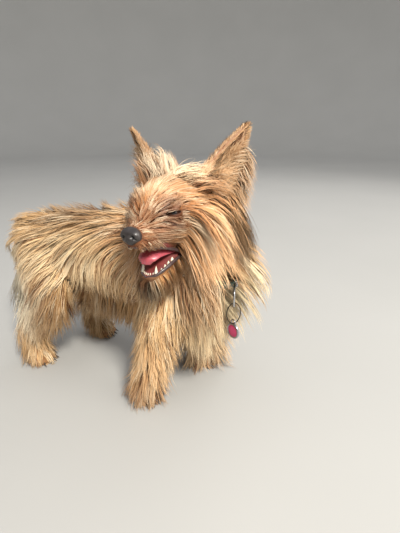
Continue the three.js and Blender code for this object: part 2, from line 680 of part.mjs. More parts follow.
// Each patch of coat: the limb, the share of its length and the turn of its girth that roots spread over
// (0 left or outwards, 90 up or forwards, 180 right, 270 down or backwards), rows, columns, and a lock's
// length, width and thickness, the coat's lie, and whether it hangs clear of the body
const patches = [
  ["torso", [0.07, 0.82], [62, 118], 7, 2, 52, 29, 3.6, flows.trunk],
  ["torso", [0.05, 0.82], [2, 58], 7, 2, 52, 30, 3.6, flows.trunk],
  ["torso", [0.05, 0.82], [122, 178], 7, 2, 52, 30, 3.6, flows.trunk],
  ["torso", [0.25, 0.78], [-34, -4], 5, 1, 46, 29, 3.4, flows.trunk],
  ["torso", [0.25, 0.78], [184, 214], 5, 1, 46, 29, 3.4, flows.trunk],
  ["torso", [0.28, 0.8], [222, 318], 4, 2, 36, 28, 3.2, flows.belly, true],
  ["torso", [0.82, 0.94], [-34, 214], 2, 5, 46, 24, 3.2, flows.chest, true],
  ["torso", [0.84, 0.94], [226, 314], 1, 2, 38, 20, 3, flows.chest, true],
  ["torso", [0.96, 0.99], [0, 360], 1, 5, 40, 20, 3, flows.chest, true],
  ["neck", [0.3, 0.95], [0, 360], 3, 7, 54, 22, 3.2, flows.ruff, true],
  ["skull", [0.12, 0.4], [62, 118], 2, 3, 27, 12, 2.6, flows.topknot, true],
  ["skull", [0.4, 0.74], [60, 120], 2, 2, 30, 16, 2.4, flows.crown],
  ["skull", [0.45, 0.75], [30, 54], 2, 1, 38, 15, 2.4, flows.brow, true],
  ["skull", [0.45, 0.75], [126, 150], 2, 1, 34, 15, 2.4, flows.brow],
  ["skull", [0.1, 0.76], [-28, 26], 3, 3, 60, 18, 3, flows.windward, true],
  ["skull", [0.1, 0.76], [154, 208], 3, 3, 44, 17, 3, flows.cheek, true],
  ["skull", [0.04, 0.3], [34, 60], 2, 1, 48, 16, 3, flows.windward, true],
  ["skull", [0.04, 0.3], [120, 146], 2, 1, 44, 16, 3, flows.nape, true],
  ["muzzle", [0.2, 0.8], [40, 140], 2, 2, 16, 9, 1.8, flows.muzzle],
  ["muzzle", [0.3, 0.92], [-24, 14], 3, 1, 24, 9, 2, flows.moustache, true],
  ["muzzle", [0.3, 0.92], [166, 204], 3, 1, 24, 9, 2, flows.moustache, true],
  ["jaw", [0.3, 0.95], [205, 335], 2, 3, 28, 13, 2.2, flows.beard, true],
  ["tail", [0.3, 0.95], [180, 360], 2, 3, 50, 17, 2.8, flows.tail, true],
  ["foreleg_right", [0.06, 0.72], [0, 360], 4, 4, 40, 18, 3, flows.leg, true],
  ["foreleg_left", [0.06, 0.72], [0, 360], 4, 4, 40, 18, 3, flows.leg, true],
  ["thigh_right", [0, 0.86], [110, 350], 4, 3, 42, 22, 3.2, flows.leg, true],
  ["thigh_left", [0, 0.86], [-170, 70], 4, 3, 42, 22, 3.2, flows.leg, true],
  ["shank_right", [0.2, 0.6], [0, 360], 2, 3, 28, 18, 2.8, flows.hock, true],
  ["shank_left", [0.2, 0.6], [0, 360], 2, 3, 28, 18, 2.8, flows.hock, true],
];

const beyondCollar = (p) => p.clone().sub(COLLAR_CENTRE).dot(COLLAR_NORMAL);
function ownerOf(limbName, p) {
  if (limbName === "skull" || limbName === "muzzle") return "head";
  if (limbName !== "torso" && limbName !== "neck") return limbName;
  return beyondCollar(p) > 0 ? "neck" : "torso";
}

// Roots stay clear of the eyes, the nose, the mouth and whatever other limb covers them
function bare(limbName, p) {
  const others = Object.entries(limbs).filter(([name]) => name !== limbName);
  if (others.some(([, rings]) => limbDistance(rings, p).height < -0.5)) return true;
  if (Math.abs(beyondCollar(p)) < 4.5 && (limbName === "torso" || limbName === "neck")) return true;
  const eyes = [-1, 1].some((side) => p.distanceTo(eyeSpot(side)) < LID_RADIUS + 3);
  return eyes || p.distanceTo(inHead(36, 0, -15)) < NOSE_HALF_WIDTH + 2;
}

// The hair parts round the hanging ring and tag, on the side they are seen from
const PARTING = vec(0.33, -0.94, 0);
const PARTING_REACH = [-9, 60];
const PARTING_HALF_WIDTH = 12;
const PARTING_RISE = 6;
function nearRings(p) {
  const from = p.clone().sub(wireTop);
  const along = from.dot(PARTING);
  const across = from.addScaledVector(PARTING, -along).setZ(0).length();
  const inReach = along > PARTING_REACH[0] && along < PARTING_REACH[1];
  return inReach && across < PARTING_HALF_WIDTH && p.z < wireTop.z + PARTING_RISE;
}

const locks = Object.fromEntries(Object.keys(limbs).map((name) => [name, []]));
for (const name of ["head", "ear_left", "ear_right"]) locks[name] = [];
function grow(owner, path, width, thick) {
  locks[owner].push([0, 1.5 * GAP].map((more) => lockSolid(path, width, thick, more)));
}
const STAGGER = 0.25;
const STRAY_ACROSS = 0.16;
const STRAY_ALONG = 0.22;
for (const [name, along, turn, rows, columns, length, width, thick, flow, hangs] of patches)
  for (let r = 0; r < rows; r++)
    for (let c = 0; c < columns; c++) {
      const full = turn[1] - turn[0] >= 360;
      const stagger = r % 2 ? STAGGER : -STAGGER;
      const across = (c + 0.5 + stagger + STRAY_ACROSS * (2 * random() - 1)) / columns;
      const t = lerp(along[0], along[1], (r + 0.5 + STRAY_ALONG * (2 * random() - 1)) / rows);
      const angle = degToRad(lerp(turn[0], turn[1], full ? across : clamp(across, 0, 1)));
      const { point, out, coat } = rootOn(limbs[name], t, angle);
      const size = { length: length * vary(0.16), lift: coat * (1 - CORE_SHARE) * vary(0.25), flow, hangs };
      if (bare(name, point)) continue;
      const path = lockPath(point, out, size);
      if (path.some(({ p }) => nearRings(p))) continue;
      grow(ownerOf(name, point), path, width * vary(0.15), thick);
    }

// Fringes along both rims of each ear, longest at its foot
const EAR_FRINGE = 3;
for (const side of [-1, 1])
  for (const rim of [-1, 1])
    for (let i = 0; i < EAR_FRINGE; i++) {
      const t = lerp(0.08, 0.46, i / (EAR_FRINGE - 1));
      const frame = earFrame(side, t);
      const angle = rim * (frame.wrap - EAR_RIM_INSET);
      const out = earOut(frame, angle).normalize();
      const root = frame.middle.clone().addScaledVector(out, frame.half * 0.97);
      const outer = out.dot(HEAD_LEFT) * side > 0;
      const way = out.clone().multiplyScalar(0.6).addScaledVector(frame.axis, outer ? -0.7 : 0.9);
      way.normalize();
      const length = lerp(32, 22, t) * vary(0.15) * (outer ? 1 : 0.62);
      const flat = frame.open.clone().addScaledVector(way, -frame.open.dot(way)).normalize();
      const path = [-0.05, 0.3, 0.65, 1].map((share) => ({
        p: root.clone().addScaledVector(way, share * length).add(vec(0, 0, -4 * share * share * (1 - t))),
        out: flat,
        way,
      }));
      grow(side > 0 ? "ear_left" : "ear_right", path, lerp(10, 6, t), 1.5);
    }

// Cores of the pieces. Each is also built a gap larger, as the room that its neighbours keep clear
const JAW_TOP = -37.7;
const jawTop = (grow) => beyond(inHead(0, 0, JAW_TOP + grow), headWay(0, 0, -1));
const trunk = (grow) => join([rod("torso", grow), rod("neck", grow)]);
const headBody = (grow) => {
  const parts = [rod("skull", grow), rod("muzzle", grow)];
  for (const side of [-1, 1])
    parts.push(eyeball(side, LID_RADIUS + grow), upperLip(side), cheek(side, grow));
  parts.push(rod("jaw", grow).subtract(jawTop(GAP - grow)));
  return join(parts);
};
const bodies = {
  head: headBody,
  torso: (grow) => trunk(grow).subtract(beyond(COLLAR_CENTRE, COLLAR_NORMAL, GAP / 2 - grow)),
  neck: (grow) => trunk(grow).intersect(beyond(COLLAR_CENTRE, COLLAR_NORMAL, -GAP / 2 + grow)),
  jaw: (grow) => {
    const lips = [-1, 1].map(lowerLip);
    return join([rod("jaw", grow).intersect(jawTop(grow)), ...lips]);
  },
  tail: (grow) => rod("tail", grow),
};
for (const side of ["left", "right"]) {
  const y = side === "left" ? 1 : -1;
  bodies["foreleg_" + side] = (grow) => {
    const paw = limbs["foreleg_" + side].at(-2).centre;
    return join([rod("foreleg_" + side, grow), toes(paw.x, paw.y)]);
  };
  bodies["thigh_" + side] = (grow) => rod("thigh_" + side, grow);
  bodies["shank_" + side] = (grow) => {
    const paw = limbs["shank_" + side].at(-2).centre;
    return join([rod("shank_" + side, grow), toes(paw.x, paw.y)]);
  };
  bodies["ear_" + side] = (grow) => ear(y, grow);
}

// Which pieces each piece gives way to, from the trunk and head outwards
const yields = {
  head: [],
  jaw: [],
  torso: ["head", "jaw"],
  neck: ["head", "jaw"],
  tail: ["torso"],
  foreleg_left: ["torso"],
  foreleg_right: ["torso"],
  thigh_left: ["torso"],
  thigh_right: ["torso"],
  shank_left: ["torso", "thigh_left"],
  shank_right: ["torso", "thigh_right"],
  ear_left: ["head"],
  ear_right: ["head"],
};
const fences = Object.fromEntries(Object.keys(bodies).map((name) => [name, bodies[name](GAP)]));
const hollows = [noseBody(GAP)];
for (const side of [-1, 1]) hollows.push(eyeball(side, EYE_RADIUS + GAP), lidOpening(side));

const pieces = {};
for (const name of Object.keys(bodies)) {
  const body = bodies[name](0).intersect(floorCut());
  const cuts = yields[name].map((other) => fences[other]);
  if (name === "head") cuts.push(...hollows, collarBand(GAP));
  if (name === "jaw") cuts.push(collarBand(GAP));
  if (name === "torso" || name === "neck") cuts.push(wornFence);
  if (!cuts.length) {
    pieces[name] = largest(body);
    continue;
  }
  pieces[name] = largest(body.subtract(join(cuts)));
}
const upperTeeth = rowOfTeeth(-1, 33, -6, -26, -31, 5.4, 11);
const lowerTeeth = rowOfTeeth(1, 17.5, -8, -55.6, -43, 5.6, 13);
pieces.head = largest(join([pieces.head, upperTeeth]).subtract(noseBody(GAP)));
pieces.jaw = largest(join([pieces.jaw, lowerTeeth]).subtract(tongue(GAP)));
pieces.tongue = tongue(0);
for (const name of ["head", "torso", "neck"]) pieces.tongue = pieces.tongue.subtract(fences[name]);
pieces.tongue = largest(pieces.tongue.subtract(wornFence));

// Locks are joined to their piece, trimmed clear of every other piece and of the locks joined before them
const touches = (a, b) => [0, 1, 2].every((k) => a.min[k] <= b.max[k] && b.min[k] <= a.max[k]);
const grown = [];
const joined = new Set();
const order = ["shank_left", "shank_right", "thigh_left", "thigh_right", "foreleg_left", "foreleg_right"];
order.push("tail", "ear_left", "ear_right", "torso", "jaw", "neck", "head");
const coverings = Object.fromEntries(order.map((name) => [name, bodies[name](GAP)]));
for (const name of order) {
  for (const other of yields[name]) coverings[name] = coverings[name].subtract(bodies[other](0));
}
for (const name of order) {
  if (!locks[name]?.length) continue;
  const tufts = join(locks[name].map(([body]) => body)).intersect(floorCut());
  const others = order.filter((other) => other !== name).map((other) => coverings[other]);
  const near = grown.filter((other) => touches(tufts.boundingBox(), other.boundingBox()));
  const made = [...joined].map((other) => pieces[other]);
  const cut = join([...others, wornFence, ...hollows, tongue(GAP), ...near, ...made]);
  joined.add(name);
  pieces[name] = largest(join([pieces[name], tufts.subtract(cut)]));
  grown.push(...locks[name].map(([, fence]) => fence));
}
pieces.nose = nosePad();
pieces.eye_left = eyeball(1, EYE_RADIUS);
pieces.eye_right = eyeball(-1, EYE_RADIUS);
for (const [name, make] of Object.entries(worn)) pieces[name] = largest(make(0));

// The floor under the middle of the whole box becomes the origin
const box = new THREE.Box3();
const geometries = Object.fromEntries(
  Object.entries(pieces).map(([name, piece]) => [name, geometryOf(settled(piece))]),
);
for (const geometry of Object.values(geometries)) {
  geometry.computeBoundingBox();
  box.union(geometry.boundingBox);
}
const middle = box.getCenter(vec(0, 0, 0));
const EYE_COLOUR = 0x1a1310;
const COAT_COLOUR = 0xc79a68;
const colours = {
  nose: 0x2b2523,
  tongue: 0xc9727a,
  eye_left: EYE_COLOUR,
  eye_right: EYE_COLOUR,
  collar: 0x2f4630,
  collar_ring: 0xb8bcc0,
  tag_ring: 0x1c1c1e,
  tag: 0xd8577c,
};
const group = new THREE.Group();
for (const [name, geometry] of Object.entries(geometries)) {
  geometry.translate(-middle.x, -middle.y, -box.min.z);
  const colour = colours[name] ?? COAT_COLOUR;
  const mesh = new THREE.Mesh(geometry, new THREE.MeshStandardMaterial({ color: colour, roughness: 0.8 }));
  mesh.name = name;
  group.add(mesh);
}
export default group;
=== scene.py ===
import math

import bpy
import numpy as np
from mathutils import Matrix, Vector
from mathutils.kdtree import KDTree


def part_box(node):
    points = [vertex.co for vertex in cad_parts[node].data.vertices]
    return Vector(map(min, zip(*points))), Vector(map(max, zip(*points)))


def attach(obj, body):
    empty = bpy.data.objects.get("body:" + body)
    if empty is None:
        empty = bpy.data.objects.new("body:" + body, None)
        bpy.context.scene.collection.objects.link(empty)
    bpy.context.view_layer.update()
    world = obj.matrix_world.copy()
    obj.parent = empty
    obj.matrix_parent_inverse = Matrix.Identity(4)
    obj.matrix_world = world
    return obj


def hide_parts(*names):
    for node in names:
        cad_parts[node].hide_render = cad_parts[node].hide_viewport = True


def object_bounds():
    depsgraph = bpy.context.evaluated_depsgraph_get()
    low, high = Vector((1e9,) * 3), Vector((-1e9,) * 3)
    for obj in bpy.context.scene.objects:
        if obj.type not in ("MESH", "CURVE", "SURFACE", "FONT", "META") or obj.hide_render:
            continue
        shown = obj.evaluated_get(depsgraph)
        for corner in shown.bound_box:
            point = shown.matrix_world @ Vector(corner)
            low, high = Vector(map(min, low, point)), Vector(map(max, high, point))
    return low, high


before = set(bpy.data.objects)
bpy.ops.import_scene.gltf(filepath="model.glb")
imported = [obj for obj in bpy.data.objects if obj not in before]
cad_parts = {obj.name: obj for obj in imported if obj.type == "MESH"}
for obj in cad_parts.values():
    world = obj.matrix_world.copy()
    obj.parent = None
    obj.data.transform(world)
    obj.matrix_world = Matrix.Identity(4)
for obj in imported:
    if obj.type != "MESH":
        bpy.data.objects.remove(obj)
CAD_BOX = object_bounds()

rng = np.random.default_rng(11)

# Named sizes, in millimetres, as in the solids except that the ears are narrower here
WITHERS = 200
CHEST_DEPTH = 104
TRUNK_BACK = -139
TRUNK_FRONT = 134
EYE_RADIUS = 6.3
EYE_SIDE = 20
LID_OPENING = 3.2
EAR_LENGTH = 67
EAR_HALF_WIDTH = 14.6
EAR_THICK = 2.4
NOSE_HALF_DEPTH = 6.4
NOSE_HALF_WIDTH = 9.6
NOSE_HALF_HEIGHT = 8
COLLAR_WIDTH = 10
COLLAR_THICK = 2
COLLAR_HALF_LONG = 47
COLLAR_HALF_WIDE = 40
RING_RADIUS = 12
RING_WIRE = 1.1
TAG_RING_RADIUS = 8
TAG_RING_HALF_LENGTH = 12.4
TAG_RING_WIRE = 0.8
TAG_RADIUS = 8.8


def unit(v):
    """Vectors at length one, singly or in rows."""
    v = np.asarray(v, float)
    return v / np.maximum(np.linalg.norm(v, axis=-1, keepdims=True), 1e-9)


def dot(a, b):
    return np.sum(a * b, axis=-1)


def distance_to(p, q):
    return np.linalg.norm(p - q, axis=1)


def smooth(x, low, high):
    """A soft step from 0 at low to 1 at high."""
    t = np.clip((x - low) / (high - low), 0, 1)
    return t * t * (3 - 2 * t)


def around(count):
    """Even angles round a full turn."""
    return np.arange(count) / count * 2 * math.pi


# The head's own frame: u forward, v to the dog's left, w up, from midway between the eyes
TURN, ROLL = math.radians(-98.4), math.radians(3)
HEAD_AXES = np.array(Matrix.Rotation(TURN, 3, "Z") @ Matrix.Rotation(ROLL, 3, "X"))
HEAD_ORIGIN = np.array([90.4, -63.2, 223.3])


def in_head(u, v, w):
    return HEAD_ORIGIN + HEAD_AXES @ np.array([u, v, w], float)


def head_way(u, v, w):
    return unit(HEAD_AXES @ np.array([u, v, w], float))


def to_head(p):
    return (p - HEAD_ORIGIN) @ HEAD_AXES


HEAD_LEFT = head_way(0, 1, 0)
LEFTWARD = np.array([0.0, 1, 0])
UPWARD = np.array([0.0, 0, 1])


def eye_spot(side):
    return in_head(-1, side * EYE_SIDE, 0)


def eye_way(side):
    return head_way(0.74, side * 0.66, 0.08)


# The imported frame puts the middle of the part's box over the origin, which the left eye shows
SHIFT = np.array(sum(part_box("eye_left"), Vector())) * 500 - eye_spot(1)


def to_row(p):
    """Millimetres in the dog's frame to metres in the row frame."""
    return (np.asarray(p, float) + SHIFT) / 1000


# Body parts, as stations of (x, y, z, half width, half height, coat depth)
CHEST_MIDDLE = WITHERS - CHEST_DEPTH / 2
TORSO = [
    (TRUNK_BACK, 0, 150, 10, 12, 12), (-133, 0, 152, 24, 26, 15), (-118, 0, 150, 34, 36, 16),
    (-90, 0, 147, 37, 41, 16), (-55, 0, 147, 38, 43, 15), (-15, 0, 149, 41, 47, 15),
    (25, 0, CHEST_MIDDLE, 43, 50, 13), (62, 0, CHEST_MIDDLE, 42, CHEST_DEPTH / 2, 13),
    (95, 0, 151, 38, 46, 13), (119, 0, 152, 30, 36, 13),
    (TRUNK_FRONT, 0, 151, 16, 20, 12), (TRUNK_FRONT + 7, 0, 150, 2, 4, 8),
]
NECK = [
    (68, 0, 158, 34, 36, 20), (86, -1, 178, 33, 36, 20), (97, -8, 200, 28, 30, 20),
    (100, -16, 216, 20, 22, 18), (100, -22, 226, 10, 12, 12),
]
TAIL = [
    (-128, 2, 172, 11, 11, 8), (-143, 3, 168, 9, 9, 10), (-152, 4, 153, 8, 8, 11),
    (-154, 5, 134, 6.5, 6.5, 11), (-154, 5, 114, 3.5, 3.5, 9),
]

# Parts of the head, as stations of (u, w, half width, half height, coat depth) in its middle plane
SKULL = [
    (-60, 3, 8, 8, 10), (-54, 2, 20, 19, 10), (-42, 0, 30, 27, 10), (-26, -2, 33, 29, 10),
    (-11, -5, 30, 25, 8), (1, -9, 24, 19, 5), (9, -13, 15, 12, 3), (14, -15, 11, 9, 2),
]
MUZZLE = [
    (-8, -14, 16, 13, 2), (6, -15, 14, 11.5, 2), (19, -16, 12.5, 10.3, 2), (30, -17, 11, 9.3, 2),
    (36, -17.5, 9, 8, 1),
]
JAW = [
    (-36, -30, 13, 11, 2), (-26, -36, 17, 11, 2), (-15, -42.5, 16.5, 9, 2), (-3, -50, 14.5, 7.5, 2),
    (9, -56, 12.5, 6.5, 2), (17, -59.5, 9, 5, 2), (21, -61, 4.5, 3, 2),
]


def foreleg(y, elbow, wrist, paw, splay):
    """From the shoulder over elbow and wrist to the paw, which ends in a flat on the floor."""
    side = np.sign(y)
    low = y + side * splay
    return [
        (elbow - 6, y * 0.72, 132, 15, 22, 10),
        (elbow, y, 106, 13, 15, 12),
        ((elbow + wrist) / 2, (y + low) / 2, 66, 9.5, 10.5, 15),
        (wrist, low, 32, 8.5, 9, 12),
        ((wrist + paw) / 2 + 1, low + side, 17, 9.5, 10, 7),
        (paw, low + side * 2, 7, 11.5, 13, 4),
        (paw + 1, low + side * 2, -2, 10.5, 12, 4),
    ]


def thigh(y, x):
    """From the hip over the bent stifle to just below the hock's tendon."""
    return [
        (x - 6, y * 0.66, 152, 16, 29, 10),
        (x + 2, y * 0.86, 130, 18, 32, 12),
        (x + 12, y, 108, 17, 27, 14),
        (x + 8, y, 90, 13, 21, 14),
        (x - 10, y, 71, 10.5, 14, 13),
        (x - 20, y, 57, 9, 11, 12),
    ]


def shank(y, x, paw):
    """From the hock down the hind pastern to the paw."""
    return [
        (x - 14, y, 64, 9.5, 12, 12),
        (x - 25, y, 50, 8, 9.5, 12),
        ((x - 22 + paw) / 2 - 4, y, 30, 7.5, 8.5, 9),
        (paw - 4, y, 15, 9, 10, 6),
        (paw, y, 7, 11.5, 13, 4),
        (paw + 1, y, -2, 10.5, 12, 4),
    ]


def spline(points, count):
    """Points along a centripetal curve through the given ones, even in its parameter."""
    p = np.asarray(points, float)
    p = np.vstack([2 * p[0] - p[1], p, 2 * p[-1] - p[-2]])
    made = []
    for t in np.linspace(0, len(p) - 3, count):
        i = min(int(t), len(p) - 4)
        f = t - i
        a, b, c, d = p[i : i + 4]
        before, here, after = (max(np.linalg.norm(q), 1e-6) ** 0.5 for q in (b - a, c - b, d - c))
        leave = (b - a) / before - (c - a) / (before + here) + (c - b) / here
        reach = (c - b) / here - (d - b) / (here + after) + (d - c) / after
        leave, reach = leave * here, reach * here
        bend = -3 * b + 3 * c - 2 * leave - reach
        made.append(b + leave * f + bend * f**2 + (2 * b - 2 * c + leave + reach) * f**3)
    return np.array(made)


class Limb:
    """Rings along a part's smoothed stations."""

    def __init__(self, stations, side, steps):
        stations = np.array(stations, float)
        self.centre = spline(stations[:, :3], steps + 1)
        self.a, self.b, self.coat = spline(stations[:, 3:], steps + 1).T
        self.tangent = unit(np.gradient(self.centre, axis=0))
        self.up = unit(np.cross(self.tangent, side))
        self.across = unit(np.cross(self.up, self.tangent))

    def rings(self, sides):
        angle = around(sides)
        across = self.a[:, None, None] * np.cos(angle)[None, :, None] * self.across[:, None]
        up = self.b[:, None, None] * np.sin(angle)[None, :, None] * self.up[:, None]
        return self.centre[:, None] + across + up


def head_part(stations, steps):
    return Limb([(*in_head(u, 0, w), *sizes) for u, w, *sizes in stations], HEAD_LEFT, steps)


LIMBS = {
    "torso": Limb(TORSO, LEFTWARD, 16),
    "neck": Limb(NECK, LEFTWARD, 7),
    "skull": head_part(SKULL, 12),
    "muzzle": head_part(MUZZLE, 6),
    "jaw": head_part(JAW, 8),
    "tail": Limb(TAIL, LEFTWARD, 7),
    "foreleg_right": Limb(foreleg(-40, 80, 69, 63, 13), LEFTWARD, 10),
    "foreleg_left": Limb(foreleg(36, 88, 97, 97, 0), LEFTWARD, 10),
    "thigh_right": Limb(thigh(-41, -88), LEFTWARD, 8),
    "thigh_left": Limb(thigh(43, -62), LEFTWARD, 8),
    "shank_right": Limb(shank(-43, -88, -103), LEFTWARD, 9),
    "shank_left": Limb(shank(46, -62, -68), LEFTWARD, 9),
}
NAMES = list(LIMBS)
LEGS = NAMES[NAMES.index("foreleg_right"):]


def on(who, *names):
    """Which of the numbers of limbs belong to the named ones."""
    return np.isin(who, [NAMES.index(name) for name in names])


def nearest_limb(p):
    """Each point's height over the nearest limb, the way out, the limb, share along, angle and coat depth."""
    count = len(p)
    height, out = np.full(count, np.inf), np.zeros((count, 3))
    who, along, turn, coat = np.zeros(count, int), np.zeros(count), np.zeros(count), np.zeros(count)
    for number, limb in enumerate(LIMBS.values()):
        for i in range(len(limb.a) - 1):
            axis = limb.centre[i + 1] - limb.centre[i]
            offset = p - limb.centre[i]
            t = np.clip(offset @ axis / (axis @ axis), 0, 1)
            a = limb.a[i] + t * (limb.a[i + 1] - limb.a[i])
            b = limb.b[i] + t * (limb.b[i + 1] - limb.b[i])
            c = (a + b) / 2
            offset = offset - t[:, None] * axis
            x, y, z = offset @ limb.across[i], offset @ limb.up[i], offset @ limb.tangent[i]
            rho = np.sqrt((x / a) ** 2 + (y / b) ** 2 + (z / c) ** 2) + 1e-6
            found = np.linalg.norm(offset, axis=1) * (1 - 1 / rho)
            near = found < height
            height[near] = found[near]
            way = np.outer(x / a**2, limb.across[i]) + np.outer(y / b**2, limb.up[i])
            way += np.outer(z / c**2, limb.tangent[i])
            out[near] = way[near]
            who[near] = number
            along[near] = (i + t[near]) / (len(limb.a) - 1)
            turn[near] = np.arctan2(y[near] / b[near], x[near] / a[near])
            coat[near] = limb.coat[i] + t[near] * (limb.coat[i + 1] - limb.coat[i])
    return height, unit(out), who, along, turn, coat


# Meshes
def linked(name, data):
    """A new object in the scene."""
    made = bpy.data.objects.new(name, data)
    bpy.context.scene.collection.objects.link(made)
    return made


def mesh_object(name, vertices, faces, loose=False):
    """An object from rows of points in millimetres and faces of three or four corners."""
    mesh = bpy.data.meshes.new(name)
    points = to_row(vertices) if not loose else np.asarray(vertices, float)
    mesh.from_pydata(points.tolist(), [], [tuple(int(i) for i in f) for f in faces])
    mesh.validate()
    mesh.polygons.foreach_set("use_smooth", np.ones(len(mesh.polygons), bool))
    return linked(name, mesh)


def tube(rings, closed=False):
    """Vertices and faces of a skin over rings of points, with a fan at each end unless it is closed."""
    rows, count = len(rings), len(rings[0])
    vertices = [p for ring in rings for p in ring]
    faces = []
    for r in range(rows if closed else rows - 1):
        for i in range(count):
            j = (i + 1) % count
            s = (r + 1) % rows
            faces.append((r * count + i, r * count + j, s * count + j, s * count + i))
    if not closed:
        for r in (0, rows - 1):
            middle = len(vertices)
            vertices.append(np.mean(rings[r], axis=0))
            for i in range(count):
                j = (i + 1) % count
                pair = (r * count + j, r * count + i) if r == 0 else (r * count + i, r * count + j)
                faces.append((*pair, middle))
    return np.array(vertices), faces


def merged(parts):
    """Several (vertices, faces) as one."""
    vertices, faces, start = [], [], 0
    for v, f in parts:
        vertices.append(v)
        faces += [tuple(i + start for i in face) for face in f]
        start += len(v)
    return np.vstack(vertices), faces


def ellipsoid(centre, axes, radii, rows=16, columns=24):
    """A closed ellipsoid; axes are three rows, and radii go with them."""
    rings = []
    angle = around(columns)
    for i in range(1, rows):
        polar = math.pi * i / rows
        ring = np.stack([np.sin(polar) * np.cos(angle), np.sin(polar) * np.sin(angle),
                         np.full(columns, math.cos(polar))], 1)
        rings.append(centre + (ring * radii) @ axes)
    v, f = tube(rings[::-1])
    v[-2] = centre - radii[2] * axes[2]
    v[-1] = centre + radii[2] * axes[2]
    return v, f


def frame_axes(x, z):
    """Three unit rows: x first, the third as near z as can be."""
    x = unit(x)
    y = unit(np.cross(z, x))
    return np.array([x, y, np.cross(x, y)])


def apply_modifiers(made):
    evaluated = made.evaluated_get(bpy.context.evaluated_depsgraph_get())
    mesh = bpy.data.meshes.new_from_object(evaluated)
    made.modifiers.clear()
    old = made.data
    made.data = mesh
    bpy.data.meshes.remove(old)
    return made


def in_mm(mesh):
    """A mesh's points in millimetres in the dog's frame."""
    co = np.empty(len(mesh.vertices) * 3, np.float32)
    mesh.vertices.foreach_get("co", co)
    return co.reshape(-1, 3).astype(float) * 1000 - SHIFT


# The skin: every limb's loft and the forms of head and paws, joined into one surface
VOXEL = 0.0016
SKIN_SIDES = 28
SOCKET = 3.2
PAWS = [(63, -55), (97, 38), (-103, -43), (-68, 46)]
TOES = [(i - 1.5) / 1.5 for i in range(4)]

# Rounded forms of the head's left side, as (place, way of the long axis, radii), from the cheek to the flews
HEAD_FORMS = [
    ((-25, 19, -22), (1, 0, -0.3), (16, 10, 15)),
    ((-4, 15, 8), (0.8, 0.6, -0.1), (7, 10, 5)),
    ((-6, 21, -10), (0.8, 0.6, -0.1), (8, 8, 5)),
    ((20, 8, -20.5), (1, -0.16, 0.02), (17, 6, 6.5)),
    ((-1, 14.6, -27.5), (1, -0.16, 0.02), (14, 3.6, 6.5)),
]


def toe_place(x, y, spread, z):
    return np.array([x + 11.5 - 3.2 * abs(spread), y + spread * 8, z])


def paw_forms(x, y):
    forms = []
    for spread in TOES:
        axes = frame_axes([1, spread * 0.25, -0.12], UPWARD)
        forms.append(ellipsoid(toe_place(x, y, spread, 5.4), axes, [7.4, 4.3, 5.4]))
    forms.append(ellipsoid(np.array([x - 1, y, 5]), np.eye(3), [12, 11.5, 6]))
    return forms


def head_forms():
    forms = []
    for side in (-1, 1):
        for (u, v, w), (ahead, aside, up), radii in HEAD_FORMS:
            axes = frame_axes(head_way(ahead, side * aside, up), head_way(0, 0, 1))
            forms.append(ellipsoid(in_head(u, side * v, w), axes, radii))
    return forms


def make_skin():
    parts = [tube(limb.rings(SKIN_SIDES)) for limb in LIMBS.values()]
    for x, y in PAWS:
        parts += paw_forms(x, y)
    parts += head_forms()
    made = mesh_object("skin", *merged(parts))
    remesh = made.modifiers.new("join", "REMESH")
    remesh.mode = "VOXEL"
    remesh.voxel_size = VOXEL
    remesh.adaptivity = 0
    even = made.modifiers.new("even", "SMOOTH")
    even.factor = 0.5
    even.iterations = 5
    apply_modifiers(made)
    mesh = made.data
    co = in_mm(mesh)
    for side in (-1, 1):
        offset = co - eye_spot(side)
        distance = np.linalg.norm(offset, axis=1)
        front = dot(offset, eye_way(side))
        ball = (distance < EYE_RADIUS + SOCKET) & (front > -3)
        wanted = np.where(front > 0.2, EYE_RADIUS - 1.6, EYE_RADIUS - 0.5)
        co[ball] = eye_spot(side) + offset[ball] * (wanted[ball] / np.maximum(distance[ball], 0.5))[:, None]
    co[:, 2] = np.maximum(co[:, 2], 0)
    mesh.vertices.foreach_set("co", to_row(co).astype(np.float32).ravel())
    mesh.polygons.foreach_set("use_smooth", np.ones(len(mesh.polygons), bool))
    mesh.update()
    return made


# The lids: their reach round the eyeball, half the angle they open, the slit's share, their folds and rim
LID_SPAN = math.radians(78)
LID_ANGLE = math.asin(LID_OPENING / 2 / EYE_RADIUS)
SLIT_SHARE = 0.86
UPPER_FOLD = math.radians(74)
LOWER_FOLD = math.radians(60)
LID_RIM = 1.3


def lid_axes(side):
    return frame_axes(eye_way(side), head_way(-0.1, -side * 0.15, 1))


def lid(side, upper):
    """A lid: a thick shell over the eyeball from its fold down, or up, to the slit."""
    axes = lid_axes(side)
    sign, high, droop = (1, UPPER_FOLD, 0.9) if upper else (-1, LOWER_FOLD, 0.7)
    rings = []
    for s in np.linspace(-1, 1, 21):
        azimuth = s * LID_SPAN
        rim = LID_ANGLE * math.sqrt(max(1 - (s / SLIT_SHARE) ** 2, 0)) * droop
        section = []
        for over, a in [(0.15, high), (0.15, rim + 0.02), (0.75, rim - 0.05), (1.5, rim + 0.08),
                        (2.1, (rim + high) / 2), (1.4, high)]:
            local = [math.cos(a) * math.cos(azimuth), math.cos(a) * math.sin(azimuth), sign * math.sin(a)]
            section.append(eye_spot(side) + (EYE_RADIUS + over) * (np.array(local) @ axes))
        rings.append(section if upper else section[::-1])
    return tube(rings)


# Ears: cupped leaves that open forwards and outwards
EAR_RINGS = 22
EAR_POINTS = 15
EAR_SINK = -0.04
EAR_TIP_THICK = 1.1
EAR_WRAP = 112
EAR_TIP_WRAP = 62
EAR_HOLLOW = 0.8


def ear_base(side):
    return in_head(-43, side * 29, 16)


